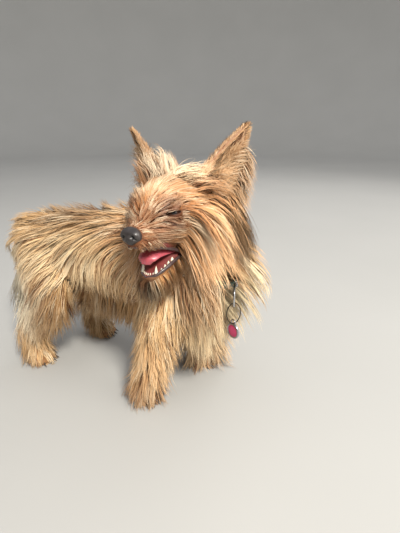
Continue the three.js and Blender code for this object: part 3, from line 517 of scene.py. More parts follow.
def ear_frame(side, t):
    """At a share of the ear's length: its axis, opening and way across, its middle, half width and wrap."""
    axis = unit(in_head(-58, side * 64, 71) - ear_base(side))
    opening = head_way(0.72, side * 0.7, 0)
    opening = unit(opening - axis * (opening @ axis))
    across = unit(np.cross(axis, opening))
    middle = ear_base(side) + axis * EAR_LENGTH * t + opening * 3 * t + across * side * 3.6 * (1 - t) ** 0.5
    half = EAR_HALF_WIDTH * (1 - t**1.5) * (0.86 + 0.5 * t * (1 - t)) + 0.9
    return axis, opening, across, middle, half, math.radians(EAR_WRAP + (EAR_TIP_WRAP - EAR_WRAP) * t)


def ear_point(side, t, share, inset=0.0):
    """A point on the outer face, or inside by the inset, the way out and the axis; the rims are -1 and 1."""
    axis, opening, across, middle, half, wrap = ear_frame(side, t)
    angle = share * wrap
    way = -EAR_HOLLOW * math.cos(angle) * opening + math.sin(angle) * across
    return middle + way * max(half - inset, 0.25), unit(way), axis


def make_ear(side):
    rings = []
    axis = ear_frame(side, 0)[0]
    for t in np.linspace(EAR_SINK, 1, EAR_RINGS):
        up = max(t, 0)
        thick = EAR_THICK + (EAR_TIP_THICK - EAR_THICK) * up
        ripple = 0.35 * math.sin(9 * t)
        outer = [ear_point(side, up, s)[0] for s in np.linspace(-1, 1, EAR_POINTS)]
        inner = [ear_point(side, up, s, thick + ripple * (1 - s * s))[0]
                 for s in np.linspace(1, -1, EAR_POINTS)]
        rings.append([p + axis * EAR_LENGTH * min(t, 0) for p in outer + inner])
    return tube(rings)


def join_into(target, other):
    with bpy.context.temp_override(active_object=target, selected_editable_objects=[target, other]):
        bpy.ops.object.join()


skin = make_skin()
bare_skin = skin.data.copy()
ears = [make_ear(side) for side in (-1, 1)]
lids = [lid(side, upper) for side in (-1, 1) for upper in (True, False)]
join_into(skin, mesh_object("ears_and_lids", *merged(ears + lids)))


# Materials
def linear(colour):
    """An sRGB colour in 0..255 as linear values."""
    c = np.asarray(colour, float) / 255
    return tuple(np.where(c <= 0.04045, c / 12.92, ((c + 0.055) / 1.055) ** 2.4))


def new_material(name, roughness=0.5, **sockets):
    material = bpy.data.materials.new(name)
    material.use_nodes = True
    shader = material.node_tree.nodes["Principled BSDF"]
    shader.inputs["Roughness"].default_value = roughness
    for socket, value in sockets.items():
        shader.inputs[socket.replace("_", " ")].default_value = value
    return material, material.node_tree, shader


def feed(tree, socket, value):
    """Link an output to the socket, or set its value."""
    if hasattr(value, "is_output"):
        tree.links.new(value, socket)
    else:
        socket.default_value = value


def node(tree, kind, inputs=None, **properties):
    made = tree.nodes.new(kind)
    for name, value in properties.items():
        setattr(made, name, value)
    for name, value in (inputs or {}).items():
        feed(tree, made.inputs[name], value)
    return made


def mix_colour(tree, share, first, second, blend="MIX"):
    first, second = ((*c, 1) if isinstance(c, tuple) else c for c in (first, second))
    inputs = {0: share, 6: first, 7: second}
    return node(tree, "ShaderNodeMix", inputs, data_type="RGBA", blend_type=blend).outputs[2]


def object_place(tree):
    return node(tree, "ShaderNodeTexCoord").outputs["Object"]


def attribute(tree, name):
    return node(tree, "ShaderNodeAttribute", attribute_name=name).outputs["Fac"]


def cloud(tree, place, scale, detail=2.0):
    return node(tree, "ShaderNodeTexNoise", {"Vector": place, "Scale": scale, "Detail": detail}).outputs[0]


def cells(tree, place, scale):
    return node(tree, "ShaderNodeTexVoronoi", {"Vector": place, "Scale": scale}).outputs["Distance"]


def ramp(tree, value, low, high, end=1.0):
    """A value that goes from 0 at low to the end at high."""
    limits = {"Value": value, "From Min": low, "From Max": high, "To Max": end}
    return node(tree, "ShaderNodeMapRange", limits).outputs[0]


def colour_shader(tree, shader, colour):
    tree.links.new(colour, shader.inputs["Base Color"])


def bump_shader(tree, shader, height, strength, depth):
    bump = node(tree, "ShaderNodeBump", {"Height": height, "Strength": strength, "Distance": depth})
    tree.links.new(bump.outputs[0], shader.inputs["Normal"])


def mottled(name, roughness, scale, detail, first, second, bump=None, **sockets):
    """A material between two colours; the bump is (scale of cells or 0 for the mottling, strength, depth)."""
    material, tree, shader = new_material(name, roughness, **sockets)
    place = object_place(tree)
    share = cloud(tree, place, scale, detail)
    colour_shader(tree, shader, mix_colour(tree, share, linear(first), linear(second)))
    if bump:
        size, strength, depth = bump
        bump_shader(tree, shader, cells(tree, place, size) if size else share, strength, depth)
    return material


# Markings and painted light and shade, the same for skin and coat: (place, radii, colour, strength), laid
# over each other in this order
GOLD = (214, 168, 112)
BODY_MARKINGS_AND_LIGHT = [
    ((-20, 0, 208), (150, 50, 25), (136, 102, 74), 0.9),
    ((60, 0, 190), (60, 60, 40), (222, 176, 124), 0.75),
    ((-20, 50, 118), (95, 40, 36), (160, 116, 70), 0.85),
    ((-20, -50, 112), (95, 40, 34), (160, 116, 70), 0.85),
    # Paler on the right upper flank, the side towards the key light: painted light
    ((-30, -50, 168), (80, 36, 30), (255, 222, 174), 0.9),
    ((-130, 0, 165), (36, 60, 40), (240, 198, 146), 0.85),
    # Both thighs near white: pale cream coat with a painted highlight over it
    ((-108, -50, 122), (42, 38, 54), (255, 240, 212), 1.0),
    ((-86, 50, 122), (42, 38, 54), (255, 240, 212), 1.0),
    ((66, -46, 130), (46, 26, 44), (232, 188, 134), 0.8),
    ((140, 0, 120), (46, 60, 60), (240, 218, 176), 0.95),
    ((63, -54, 60), (30, 30, 46), (238, 192, 140), 0.85),
    ((95, 40, 60), (30, 30, 46), (236, 202, 158), 0.9),
    ((63, -55, 8), (32, 28, 46), (160, 114, 76), 0.95),
    ((97, 38, 8), (32, 28, 46), (160, 114, 76), 0.95),
    ((-106, -43, 18), (30, 26, 34), (206, 164, 114), 0.8),
    ((-72, 46, 18), (30, 26, 34), (206, 164, 114), 0.8),
]
HEAD_MARKINGS_AND_LIGHT = [
    ((-20, 0, -5), (62, 62, 60), (202, 140, 90), 0.95),
    # The left cheek brighter: gold coat with painted light where the cheek is lit
    ((-30, 34, -22), (34, 26, 36), (255, 196, 140), 0.9),
    ((-36, -6, 34), (32, 30, 22), (255, 232, 198), 0.95),
    ((-34, 18, 30), (18, 22, 12), (248, 214, 172), 0.9),
    ((-50, 0, 44), (30, 30, 26), (248, 218, 180), 0.9),
    ((2, -7, 6), (18, 7, 18), (250, 214, 172), 0.8),
    ((-30, 30, -60), (38, 32, 24), (156, 114, 76), 0.85),
    ((24, 0, -14), (26, 22, 18), (158, 104, 70), 0.9),
    ((4, 19, -3), (17, 13, 11), (112, 66, 42), 0.92),
    ((4, -19, -3), (17, 13, 11), (112, 66, 42), 0.92),
    ((6, 0, -32), (30, 24, 9), (104, 68, 48), 0.85),
    # Dark brown under the lower lip: dark hair with painted shade under the lip
    ((17, 0, -63), (18, 15, 8), (112, 78, 54), 0.9),
    # Both ears darker: their own darker tan with painted shade of the cup
    ((-52, 48, 48), (26, 30, 36), (152, 108, 68), 0.95),
    ((-52, -48, 48), (26, 30, 36), (152, 108, 68), 0.95),
]
MARKINGS_AND_LIGHT = BODY_MARKINGS_AND_LIGHT + [(tuple(in_head(*place)), *rest) for place, *rest in HEAD_MARKINGS_AND_LIGHT]


def markings_and_light_group():
    group = bpy.data.node_groups.new("markings_and_light", "ShaderNodeTree")
    group.interface.new_socket("Place", in_out="INPUT", socket_type="NodeSocketVector")
    group.interface.new_socket("Color", in_out="OUTPUT", socket_type="NodeSocketColor")
    source = group.nodes.new("NodeGroupInput").outputs[0]
    end = group.nodes.new("NodeGroupOutput")
    wander = cloud(group, source, 38.0)
    colour = linear(GOLD)
    for place, radii, shade, strength in MARKINGS_AND_LIGHT:
        sizes = {"Vector": source, "Location": to_row(place), "Scale": [r / 1000 for r in radii]}
        mapping = node(group, "ShaderNodeMapping", sizes, vector_type="TEXTURE").outputs[0]
        distance = node(group, "ShaderNodeVectorMath", {0: mapping}, operation="LENGTH").outputs["Value"]
        terms = {0: wander, 1: 0.5, 2: distance}
        uneven = node(group, "ShaderNodeMath", terms, operation="MULTIPLY_ADD").outputs[0]
        limits = {"Value": uneven, "From Min": 0.75, "From Max": 1.55, "To Min": strength, "To Max": 0.0}
        share = node(group, "ShaderNodeMapRange", limits, interpolation_type="SMOOTHSTEP").outputs[0]
        colour = mix_colour(group, share, colour, linear(shade))
    group.links.new(colour, end.inputs[0])
    return group


MARKS_AND_LIGHT = markings_and_light_group()


def marked_and_lit(tree, place):
    made = node(tree, "ShaderNodeGroup", node_tree=MARKS_AND_LIGHT)
    tree.links.new(place, made.inputs[0])
    return made.outputs[0]


def coat_material():
    material, tree, shader = new_material("coat", 0.42, Specular_IOR_Level=0.35)
    place = node(tree, "ShaderNodeAttribute", attribute_name="root").outputs["Vector"]
    along, shade = attribute(tree, "along"), attribute(tree, "shade")
    colour = marked_and_lit(tree, place)
    dark = mix_colour(tree, 1.0, colour, linear((150, 112, 84)), "MULTIPLY")
    pale = mix_colour(tree, 0.62, colour, linear((250, 232, 200)))
    colour = mix_colour(tree, ramp(tree, shade, 0.38, 0.0), colour, dark)
    colour = mix_colour(tree, ramp(tree, shade, 0.55, 1.0), colour, pale)
    colour = mix_colour(tree, ramp(tree, along, 0.35, 1.0, 0.22), colour, linear((240, 214, 176)))
    roots = ramp(tree, along, 0.4, 0.0, 0.42)
    colour_shader(tree, shader, mix_colour(tree, roots, colour, linear((120, 84, 56)), "MULTIPLY"))
    return material


def skin_material():
    material, tree, shader = new_material("skin", 0.62, Specular_IOR_Level=0.3)
    place = object_place(tree)
    colour = mix_colour(tree, 0.8, marked_and_lit(tree, place), linear((150, 128, 112)), "MULTIPLY")
    blotch = cloud(tree, place, 210.0, 4.0)
    pink = mix_colour(tree, blotch, linear((132, 58, 54)), linear((84, 32, 32)))
    bare = mix_colour(tree, blotch, linear((206, 160, 128)), linear((168, 116, 86)))
    for name, shade in (("cup", bare), ("mouth", pink), ("rim", linear((46, 34, 30)))):
        colour = mix_colour(tree, attribute(tree, name), colour, shade)
    colour_shader(tree, shader, colour)
    bump_shader(tree, shader, cells(tree, place, 900.0), 0.25, 0.0004)
    return material


SKIN = skin_material()
COAT = coat_material()


def store(mesh, name, values, kind="FLOAT"):
    attribute = mesh.attributes.new(name, kind, "POINT")
    key = "vector" if kind == "FLOAT_VECTOR" else "value"
    attribute.data.foreach_set(key, np.asarray(values, np.float32).ravel())


# The open mouth's roof and floor, each as places u and heights w: painted, bare of roots, and clear of tufts
MOUTH_PAINTED = [
    ([-30, -9, 4, 20, 35], [-27, -30.5, -25.5, -23.5, -23]),
    ([-30, -12, 9, 20], [-40, -43, -52, -57]),
]
MOUTH_BARE = [
    ([-30, -9, 4, 35], [-28, -33, -29, -25]),
    ([-30, -12, 9, 20], [-42, -46, -53.5, -58]),
]
MOUTH_CLEAR = [
    ([-26, -9, 4, 20, 35], [-36, -39, -34.5, -31.5, -30]),
    ([-26, -12, 9, 18, 22], [-41, -43.5, -52, -56, -57]),
]


def mouth(lines, u):
    """The heights of roof and floor at places u."""
    return [np.interp(u, *line) for line in lines]


def paint_skin():
    """Where the skin is bare: inside the mouth, in the cup of each ear, and along the lids."""
    mesh = skin.data
    mesh.materials.clear()
    mesh.materials.append(SKIN)
    co = in_mm(mesh)
    u, v, w = to_head(co).T
    roof, floor = mouth(MOUTH_PAINTED, u)
    inner = smooth(roof - w, 0, 1.5) * smooth(w - floor, -0.8, 0.6) * smooth(18 - np.abs(v), 0, 2)
    store(mesh, "mouth", inner * smooth(u, -34, -30) * smooth(36 - u, 0, 2))
    cup, rim = np.zeros(len(co)), np.zeros(len(co))
    shares = np.linspace(0, 1, 40)
    for side in (-1, 1):
        axis, opening = ear_frame(side, 0)[:2]
        offset = co - ear_base(side)
        t = np.clip(offset @ axis / EAR_LENGTH, 0, 1)
        centre = ear_base(side) + t[:, None] * EAR_LENGTH * axis + 3 * t[:, None] * opening
        radius = distance_to(co, centre)
        half = np.interp(t, shares, [ear_frame(side, share)[4] for share in shares])
        inside = (radius < half - 1) & (offset @ axis > 2) & (radius < 20)
        cup = np.maximum(cup, inside.astype(float))
        forward = dot(co - eye_spot(side), eye_way(side))
        near = EYE_RADIUS + LID_RIM - distance_to(co, eye_spot(side))
        rim = np.maximum(rim, smooth(near, 0, 0.5) * smooth(forward, 1, 3))
    store(mesh, "cup", cup)
    store(mesh, "rim", rim)


paint_skin()
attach(skin, "root")
FLESH = ["head", "jaw", "neck", "torso", "tail", "ear_left", "ear_right", "foreleg_left", "foreleg_right",
         "thigh_left", "thigh_right", "shank_left", "shank_right"]
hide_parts(*FLESH)


# Kinds of hair, as (length, share of the coat's depth it stands, width, rings, clumping, wave, stray, hangs)
KINDS = {
    "back": (46, 0.95, 0.95, 4, 0.5, 1.3, 0.6, False),
    "flank": (60, 0.8, 1.0, 4, 0.58, 1.9, 0.6, False),
    "belly": (42, 0.9, 1.05, 4, 0.7, 2.0, 0.8, True),
    "chest": (74, 2.0, 0.95, 5, 0.74, 3.6, 0.75, True),
    "ruff": (54, 1.2, 1.0, 4, 0.7, 2.8, 0.6, True),
    "leg": (44, 1.5, 0.92, 4, 0.7, 2.4, 0.75, True),
    "feather": (62, 1.6, 1.0, 4, 0.74, 3.0, 0.8, True),
    "fringe": (58, 1.2, 1.0, 4, 0.74, 2.6, 0.75, True),
    "foot": (15, 1.0, 0.75, 3, 0.45, 0.6, 0.7, False),
    "tail": (46, 1.0, 1.1, 4, 0.7, 2.2, 0.8, True),
    "topknot": (46, 1.4, 0.65, 5, 0.6, 3.4, 1.1, True),
    "crown": (30, 0.45, 0.62, 5, 0.36, 0.7, 0.4, False),
    "brow": (36, 0.6, 0.62, 5, 0.42, 1.0, 0.45, False),
    "cheek": (60, 1.25, 0.85, 5, 0.5, 2.0, 0.5, True),
    "throat": (34, 1.0, 0.9, 4, 0.7, 1.6, 0.8, True),
    "bridge": (17, 1.3, 0.5, 4, 0.35, 0.5, 0.4, False),
    "muzzle": (12, 2.0, 0.5, 4, 0.32, 0.5, 0.5, False),
    "moustache": (23, 2.2, 0.6, 4, 0.6, 1.0, 0.7, True),
    "beard": (24, 1.3, 0.75, 4, 0.6, 1.2, 0.7, True),
}
KIND_NAMES = list(KINDS)
KIND = {name: i for i, name in enumerate(KIND_NAMES)}
TABLE = np.array([[float(x) for x in row] for row in KINDS.values()])
LENGTH, STAND, WIDTH, RINGS, CLUMPING, WAVE, STRAY, HANGS = range(8)

# A full turn, for phases
ROUND = 6.28


def noise(p, scale, seed):
    """Smooth values from -1 to 1 over space."""
    draw = np.random.default_rng(seed)
    total = np.zeros(len(p))
    for k in range(4):
        wave = draw.normal(size=3) / scale
        total += np.sin(p @ wave * (1 + 0.6 * k) + draw.uniform(0, ROUND))
    return total / 2.6


def kinds_at(p, who, turn):
    """The kind of hair that grows at each root, where a later rule wins."""
    degrees = np.degrees(turn) % 360
    top, low = (degrees > 35) & (degrees < 145), (degrees > 215) & (degrees < 325)
    x, z = p[:, 0], p[:, 2]
    u, v, w = to_head(p).T
    wide = np.abs(v)
    torso, skull, muzzle = on(who, "torso"), on(who, "skull"), on(who, "muzzle")
    rules = [
        ("back", torso & top),
        ("belly", torso & low),
        ("chest", torso & (x > 96) & ~top),
        ("chest", torso & (x > 122)),
        ("ruff", on(who, "neck")),
        ("tail", on(who, "tail")),
        ("leg", on(who, *LEGS)),
        ("feather", on(who, "foreleg_left") & (z > 36)),
        ("flank", on(who, "thigh_left", "thigh_right") & (z > 112)),
        ("fringe", on(who, "thigh_right") & (x < -100) & (z < 135)),
        ("fringe", on(who, "thigh_left") & (x < -74) & (z < 135)),
        ("foot", on(who, *LEGS) & (z < 17)),
        ("cheek", skull),
        ("crown", skull & (w > 12)),
        ("brow", skull & (w > 4) & (wide > 13) & (u > -34)),
        ("topknot", skull & (w > 8) & (u < -24) & (v > -28) & (v < 27)),
        ("throat", skull & (w < -24) & (wide < 16)),
        ("bridge", skull & (u > -6) & (w < 12)),
        ("muzzle", muzzle),
        ("bridge", muzzle & (u < 8) & (w > -14)),
        ("moustache", muzzle & (w < -17) & (wide > 5)),
        ("beard", on(who, "jaw")),
    ]
    kind = np.full(len(p), KIND["flank"])
    for name, mask in rules:
        kind[mask] = KIND[name]
    return kind


# The collar and the ring that hangs from it, with the parting of the hair in front of them
COLLAR_CENTRE = np.array([112.0, 0, 168.5])
COLLAR_NORMAL = unit([0.658, 0, 0.752])
COLLAR_OUT = np.array([COLLAR_NORMAL[2], 0, -COLLAR_NORMAL[0]])
COLLAR_FRONT = COLLAR_CENTRE + COLLAR_OUT * COLLAR_HALF_LONG + np.array([0, -2.0, 0])
TOP_RING = COLLAR_FRONT + COLLAR_OUT * 2.45
RING_VIEW = np.array([0.33, -0.94])
RING_ASIDE = np.array([0.94, 0.33])
PARTING_REACH = 60
PARTING_HALF = 8
PARTING_LOW = 66


def from_ring(p):
    """How far points lie in front of the hanging ring, on the side it is seen from, and to its side."""
    offset = p[:, :2] - TOP_RING[:2]
    return offset @ RING_VIEW, offset @ RING_ASIDE


def ring_zone(p):
    """The parting in front of the hanging ring and tag."""
    ahead, aside = from_ring(p)
    z = p[:, 2]
    near = (ahead > -2) & (ahead < PARTING_REACH) & (np.abs(aside) < PARTING_HALF)
    return near & (z < TOP_RING[2] + 3) & (z > PARTING_LOW)


def flow(kind, p, out):
    """The way a hair grows at each point, by kind."""
    way = np.zeros_like(p)
    x, y, z = p.T
    top, side = np.maximum(out[:, 2], 0), np.sign(y + 1e-6)
    u, v, w = to_head(p).T
    head_side = np.sign(v + 1e-6)
    zero = np.zeros(len(p))

    def put(name, ways, lift=None):
        """Ways for one kind, with so much of the way out added."""
        mask = kind == KIND[name]
        made = ways if lift is None else ways + np.broadcast_to(lift, len(p))[:, None] * out
        way[mask] = made[mask]

    def rows(a, b, c):
        return np.stack([zero + a, zero + b, zero + c], 1)

    def head_rows(a, b, c):
        return rows(a, b, c) @ HEAD_AXES.T

    chest, shoulder, rump = smooth(x, 92, 128), smooth(x, 20, 70), 1 - smooth(x, -128, -95)
    trunk = rows(-0.3 - 0.75 * top + 1.1 * chest - 0.4 * rump - 0.25 * shoulder * (1 - chest),
                 0.5 * top * side, -1 + 0.78 * top * (1 - chest) - 0.2 * rump)
    put("back", trunk)
    put("flank", trunk)
    put("belly", rows(-0.3, 0.28 * side, -1))
    high = smooth(z, 70, 115) * smooth(x, 100, 122)
    forward = 0.3 + 0.5 * high + 0.5 * smooth(y, -8, 8)
    put("chest", rows(forward, 0.16 * side, -1 + 0.1 * high), 0.22 + 0.3 * high)
    put("ruff", rows(0, 0, -0.9), 0.35 + 0.12 * smooth(out[:, 0], 0, 0.8))
    spread = 0.25 + 0.4 * smooth(z, 24, 70)
    put("leg", rows(-0.12, 0, -1), spread)
    put("feather", rows(0.6 * out[:, 0], 0, -1), 2 * spread * (1 - 0.75 * smooth(out[:, 1], 0, 0.6)))
    put("fringe", rows(-0.7, 0.1 * side, -1), 0.14)
    put("foot", rows(0.5 * out[:, 0] + 0.3, 0.4 * out[:, 1], -0.8))
    put("tail", rows(-0.1, 0, -1), 0.12)

    fan = unit(np.stack([u - 14, v, w + 10], 1)).T
    near = smooth(v, -7, 3)
    lean = (0.3 * smooth(v, -14, 4) - 0.45) * (1 - near) + 0.95 * near
    put("topknot", head_rows(-0.2, lean + 0.3 * noise(p, 12, 3), 1 - 0.4 * near), 0.2)
    put("crown", head_rows(fan[0], fan[1] * 1.3, fan[2] * 0.6))
    put("brow", head_rows(fan[0], fan[1] * 1.2, fan[2] * 0.8 - 0.2))
    put("bridge", head_rows(-1 - 0.1 * u / 20, 0.55 * v / 12, 0.35 * smooth(w, -12, -2) - 0.15))
    left, raised = smooth(v, 0, 20), smooth(w, -34, 6)
    rise = fan[2] * 0.35 - 0.75 + 0.4 * left * raised
    put("cheek", head_rows(fan[0] * 0.7, fan[1] * 0.5 + 0.75 * left, rise),
        0.14 + 0.7 * left + 0.4 * smooth(-v, 8, 24))
    put("throat", head_rows(-0.3, 0, -1))
    put("muzzle", head_rows(-0.9, 0.4 * head_side, -0.4 + 0.45 * smooth(w, -14, -6)))
    put("moustache", head_rows(-0.7, 0.2 * head_side, -0.8), 0.1)
    put("beard", head_rows(-0.05, 0, -0.9), 0.5)

    way = unit(way)
    ahead, aside = from_ring(p)
    near = smooth(14 - np.abs(aside), 0, 7) * smooth(ahead, -12, -3) * (z < TOP_RING[2] + 20)
    way[:, :2] -= (1.1 * near * (ahead < 40) * (kind <= KIND["feather"]))[:, None] * RING_VIEW
    for eye in (-1, 1):
        offset = p - eye_spot(eye)
        way = way + (1.2 * smooth(18 - np.linalg.norm(offset, axis=1), 0, 9))[:, None] * unit(offset)
    return unit(way)


def swayed(way, out, angle):
    """Ways turned about the way out by an angle each."""
    across = np.cross(out, way)
    return unit(way * np.cos(angle)[:, None] + across * np.sin(angle)[:, None])


STEPS = 9
FLOOR_GAP = 1.2

# How guides and tufts vary, as lowest and highest shares of what their kind says
GUIDE_LENGTHS = (0.82, 1.15)
GUIDE_LIFTS = (0.75, 1.1)
TUFT_REACHES = (0.72, 1.0)
TUFT_LAYERS = (0.25, 1.0)
TUFT_WIDTHS = (0.7, 1.25)
CLUMPINGS = (0.75, 1.1)
WAVE_TURNS = (0.8, 1.7)


def grow_guides(root, out, kind, coat):
    """Each guide's points, ways out and heights over the skin, from its root to its tip."""
    row = TABLE[kind]
    cheek = kind == KIND["cheek"]
    length = row[:, LENGTH] * rng.uniform(*GUIDE_LENGTHS, len(root))
    length *= np.where(kind == KIND["back"], 1 - 0.45 * (1 - smooth(root[:, 0], -122, -100)), 1)
    length *= np.where(kind == KIND["topknot"], 1 - 0.25 * smooth(to_head(root)[:, 1], -4, 6), 1)
    lift = coat * row[:, STAND] * rng.uniform(*GUIDE_LIFTS, len(root))
    hangs = row[:, HANGS] > 0
    sway = row[:, STRAY] * (0.45 * noise(root, 26, 5) + rng.normal(0, 0.14, len(root)))
    p, normal = root.copy(), out.copy()
    points, normals, heights = [p.copy()], [normal.copy()], [np.zeros(len(root))]
    for step in range(1, STEPS + 1):
        share = step / STEPS
        way = flow(kind, p, normal)
        way[:, 2] -= np.where(hangs, np.where(cheek, 1.7, 0.8) * share, 0)
        way = swayed(unit(way), normal, sway * (1 - 0.5 * share))
        flat = unit(way - normal * dot(way, normal)[:, None])
        way = np.where(hangs[:, None], way, flat)
        p = p + way * (length / STEPS)[:, None]
        height, found, *_ = nearest_limb(p)
        wanted = lift * share ** np.where(cheek, 0.45, 0.75)
        short = (height < wanted) | (~hangs & (height < wanted + 6))
        p = p + found * np.where(short, wanted - height, 0)[:, None]
        p[:, 2] = np.maximum(p[:, 2], FLOOR_GAP)
        blend = np.where(hangs, 0.35, 0.85)[:, None]
        normal = unit(normal * (1 - blend) + found * blend)
        points.append(p.copy())
        normals.append(normal.copy())
        heights.append(wanted)
    return np.stack(points, 1), np.stack(normals, 1), np.stack(heights, 1)


def sample_skin(mesh, per_face):
    """Roots spread over the skin with so many per face, on average, and the skin's own way out there."""
    mesh.calc_loop_triangles()
    count = len(mesh.loop_triangles)
    corners = np.empty(count * 3, np.int32)
    mesh.loop_triangles.foreach_get("vertices", corners)
    corners = corners.reshape(-1, 3)
    co = in_mm(mesh)
    a, b, c = co[corners[:, 0]], co[corners[:, 1]], co[corners[:, 2]]
    cross = np.cross(b - a, c - a)
    area = np.linalg.norm(cross, axis=1) / 2
    wanted = area * per_face((a + b + c) / 3) / 100
    number = np.floor(wanted + rng.random(count)).astype(int)
    pick = np.repeat(np.arange(count), number)
    s, t = rng.random(len(pick)), rng.random(len(pick))
    flip = s + t > 1
    s[flip], t[flip] = 1 - s[flip], 1 - t[flip]
    points = a[pick] + s[:, None] * (b - a)[pick] + t[:, None] * (c - a)[pick]
    return points, unit(cross[pick])


# Tufts to the square centimetre, and what that is multiplied by in places
SUNK = 0.15
AT_FOREHEAD = 1.9
AT_CHEST = 2.3
AT_LEFT_CHEST = 1.6
AT_EAR = 0.6
DENSITY = {"torso": 25, "neck": 66, "skull": 69, "muzzle": 185, "jaw": 135, "tail": 50, "foreleg_right": 45,
           "foreleg_left": 44, "thigh_right": 27, "thigh_left": 22, "shank_right": 38, "shank_left": 34}
DENSITIES = np.array([DENSITY[name] for name in NAMES], float)


NOSE_SIZE = np.array([NOSE_HALF_DEPTH, NOSE_HALF_WIDTH, NOSE_HALF_HEIGHT])


def in_nose(u, v, w, more):
    size = NOSE_SIZE + more
    return ((u - 34) / size[0]) ** 2 + (v / size[1]) ** 2 + ((w + 15) / size[2]) ** 2 < 1


def density_at(p):
    """Tufts to the square centimetre: fewer inside another limb, none in the mouth or on eyes and nose."""
    height, _, who, *_ = nearest_limb(p)
    u, v, w = to_head(p).T
    x, torso = p[:, 0], on(who, "torso")
    sunk = np.where(on(who, "skull", "muzzle", "jaw"), -8, -3.5)
    dense = DENSITIES[who] * np.where(height > sunk, 1, SUNK)
    dense = np.where(on(who, "skull") & (u > -8), dense * AT_FOREHEAD, dense)
    dense = np.where(torso & (x > 100), dense * AT_CHEST, dense)
    dense = np.where(torso & (x > 112) & (p[:, 1] > -4), dense * AT_LEFT_CHEST, dense)
    roof, floor = mouth(MOUTH_BARE, u)
    in_mouth = (u > -32) & (u < 36) & (np.abs(v) < 15) & (w < roof) & (w > floor)
    dense = np.where(in_mouth, 0, dense)
    for side in (-1, 1):
        dense = np.where(distance_to(p, eye_spot(side)) < EYE_RADIUS + 1.2, 0, dense)
        base = distance_to(p, in_head(-44, side * 31, 20))
        dense = np.where(base < 9, dense * AT_EAR, dense)
    return np.where(in_nose(u, v, w, 0.2), 0, dense)


SLIT_CLEAR = 5.4


def over_face(points):
    """Tufts that would cross an eye, the nose or the open mouth, or hide the ring."""
    flat = points.reshape(-1, 3)
    u, v, w = to_head(flat).T
    hidden = in_nose(u, v, w, 0.3) | ((u > 36) & (np.abs(v) < 10) & (w > -24)) | ring_zone(flat)
    for side in (-1, 1):
        slit = eye_spot(side) + (EYE_RADIUS + 0.5) * eye_way(side)
        hidden |= distance_to(flat, slit) < SLIT_CLEAR
        hidden |= distance_to(flat, eye_spot(side)) < EYE_RADIUS + 1
    roof, floor = mouth(MOUTH_CLEAR, u)
    hidden |= (u > -20) & (u < 34) & (np.abs(v) < 21) & (w < roof) & (w > floor)
    return hidden.reshape(points.shape[:2])[:, 1:].any(1)


# The share of the solids' size that tips may reach past them, and how gently they are turned back
ROOM = 0.025
BEND = 14.0


def within_box(points):
    """Points, with those near the reach of the solids turned back so that the tips stay inside it."""
    low, high = (np.array(c) * 1000 - SHIFT for c in CAD_BOX)
    more = ROOM * (high - low)
    for k in range(3):
        top, bottom = high[k] + more[k] - BEND, low[k] - more[k] + BEND
        x = points[..., k]
        x = np.where(x > top, top + BEND * np.tanh((x - top) / BEND), x)
        if k < 2:
            x = np.where(x < bottom, bottom - BEND * np.tanh((bottom - x) / BEND), x)
        points[..., k] = x
    return points


# One tuft in nine is a guide; some tufts are shorter, and some kinds are lit as if they faced the viewer more
GUIDE_SHARE = 0.11
UNDERCOAT_SHARE = 0.15
UNDERCOAT_REACH = 0.75
SHORT_ON_HEAD_ABOVE = 0.72
SHORT_ON_HEAD_REACH = 0.4
TO_LIGHT = np.array([0.75, -0.5, 0.45])


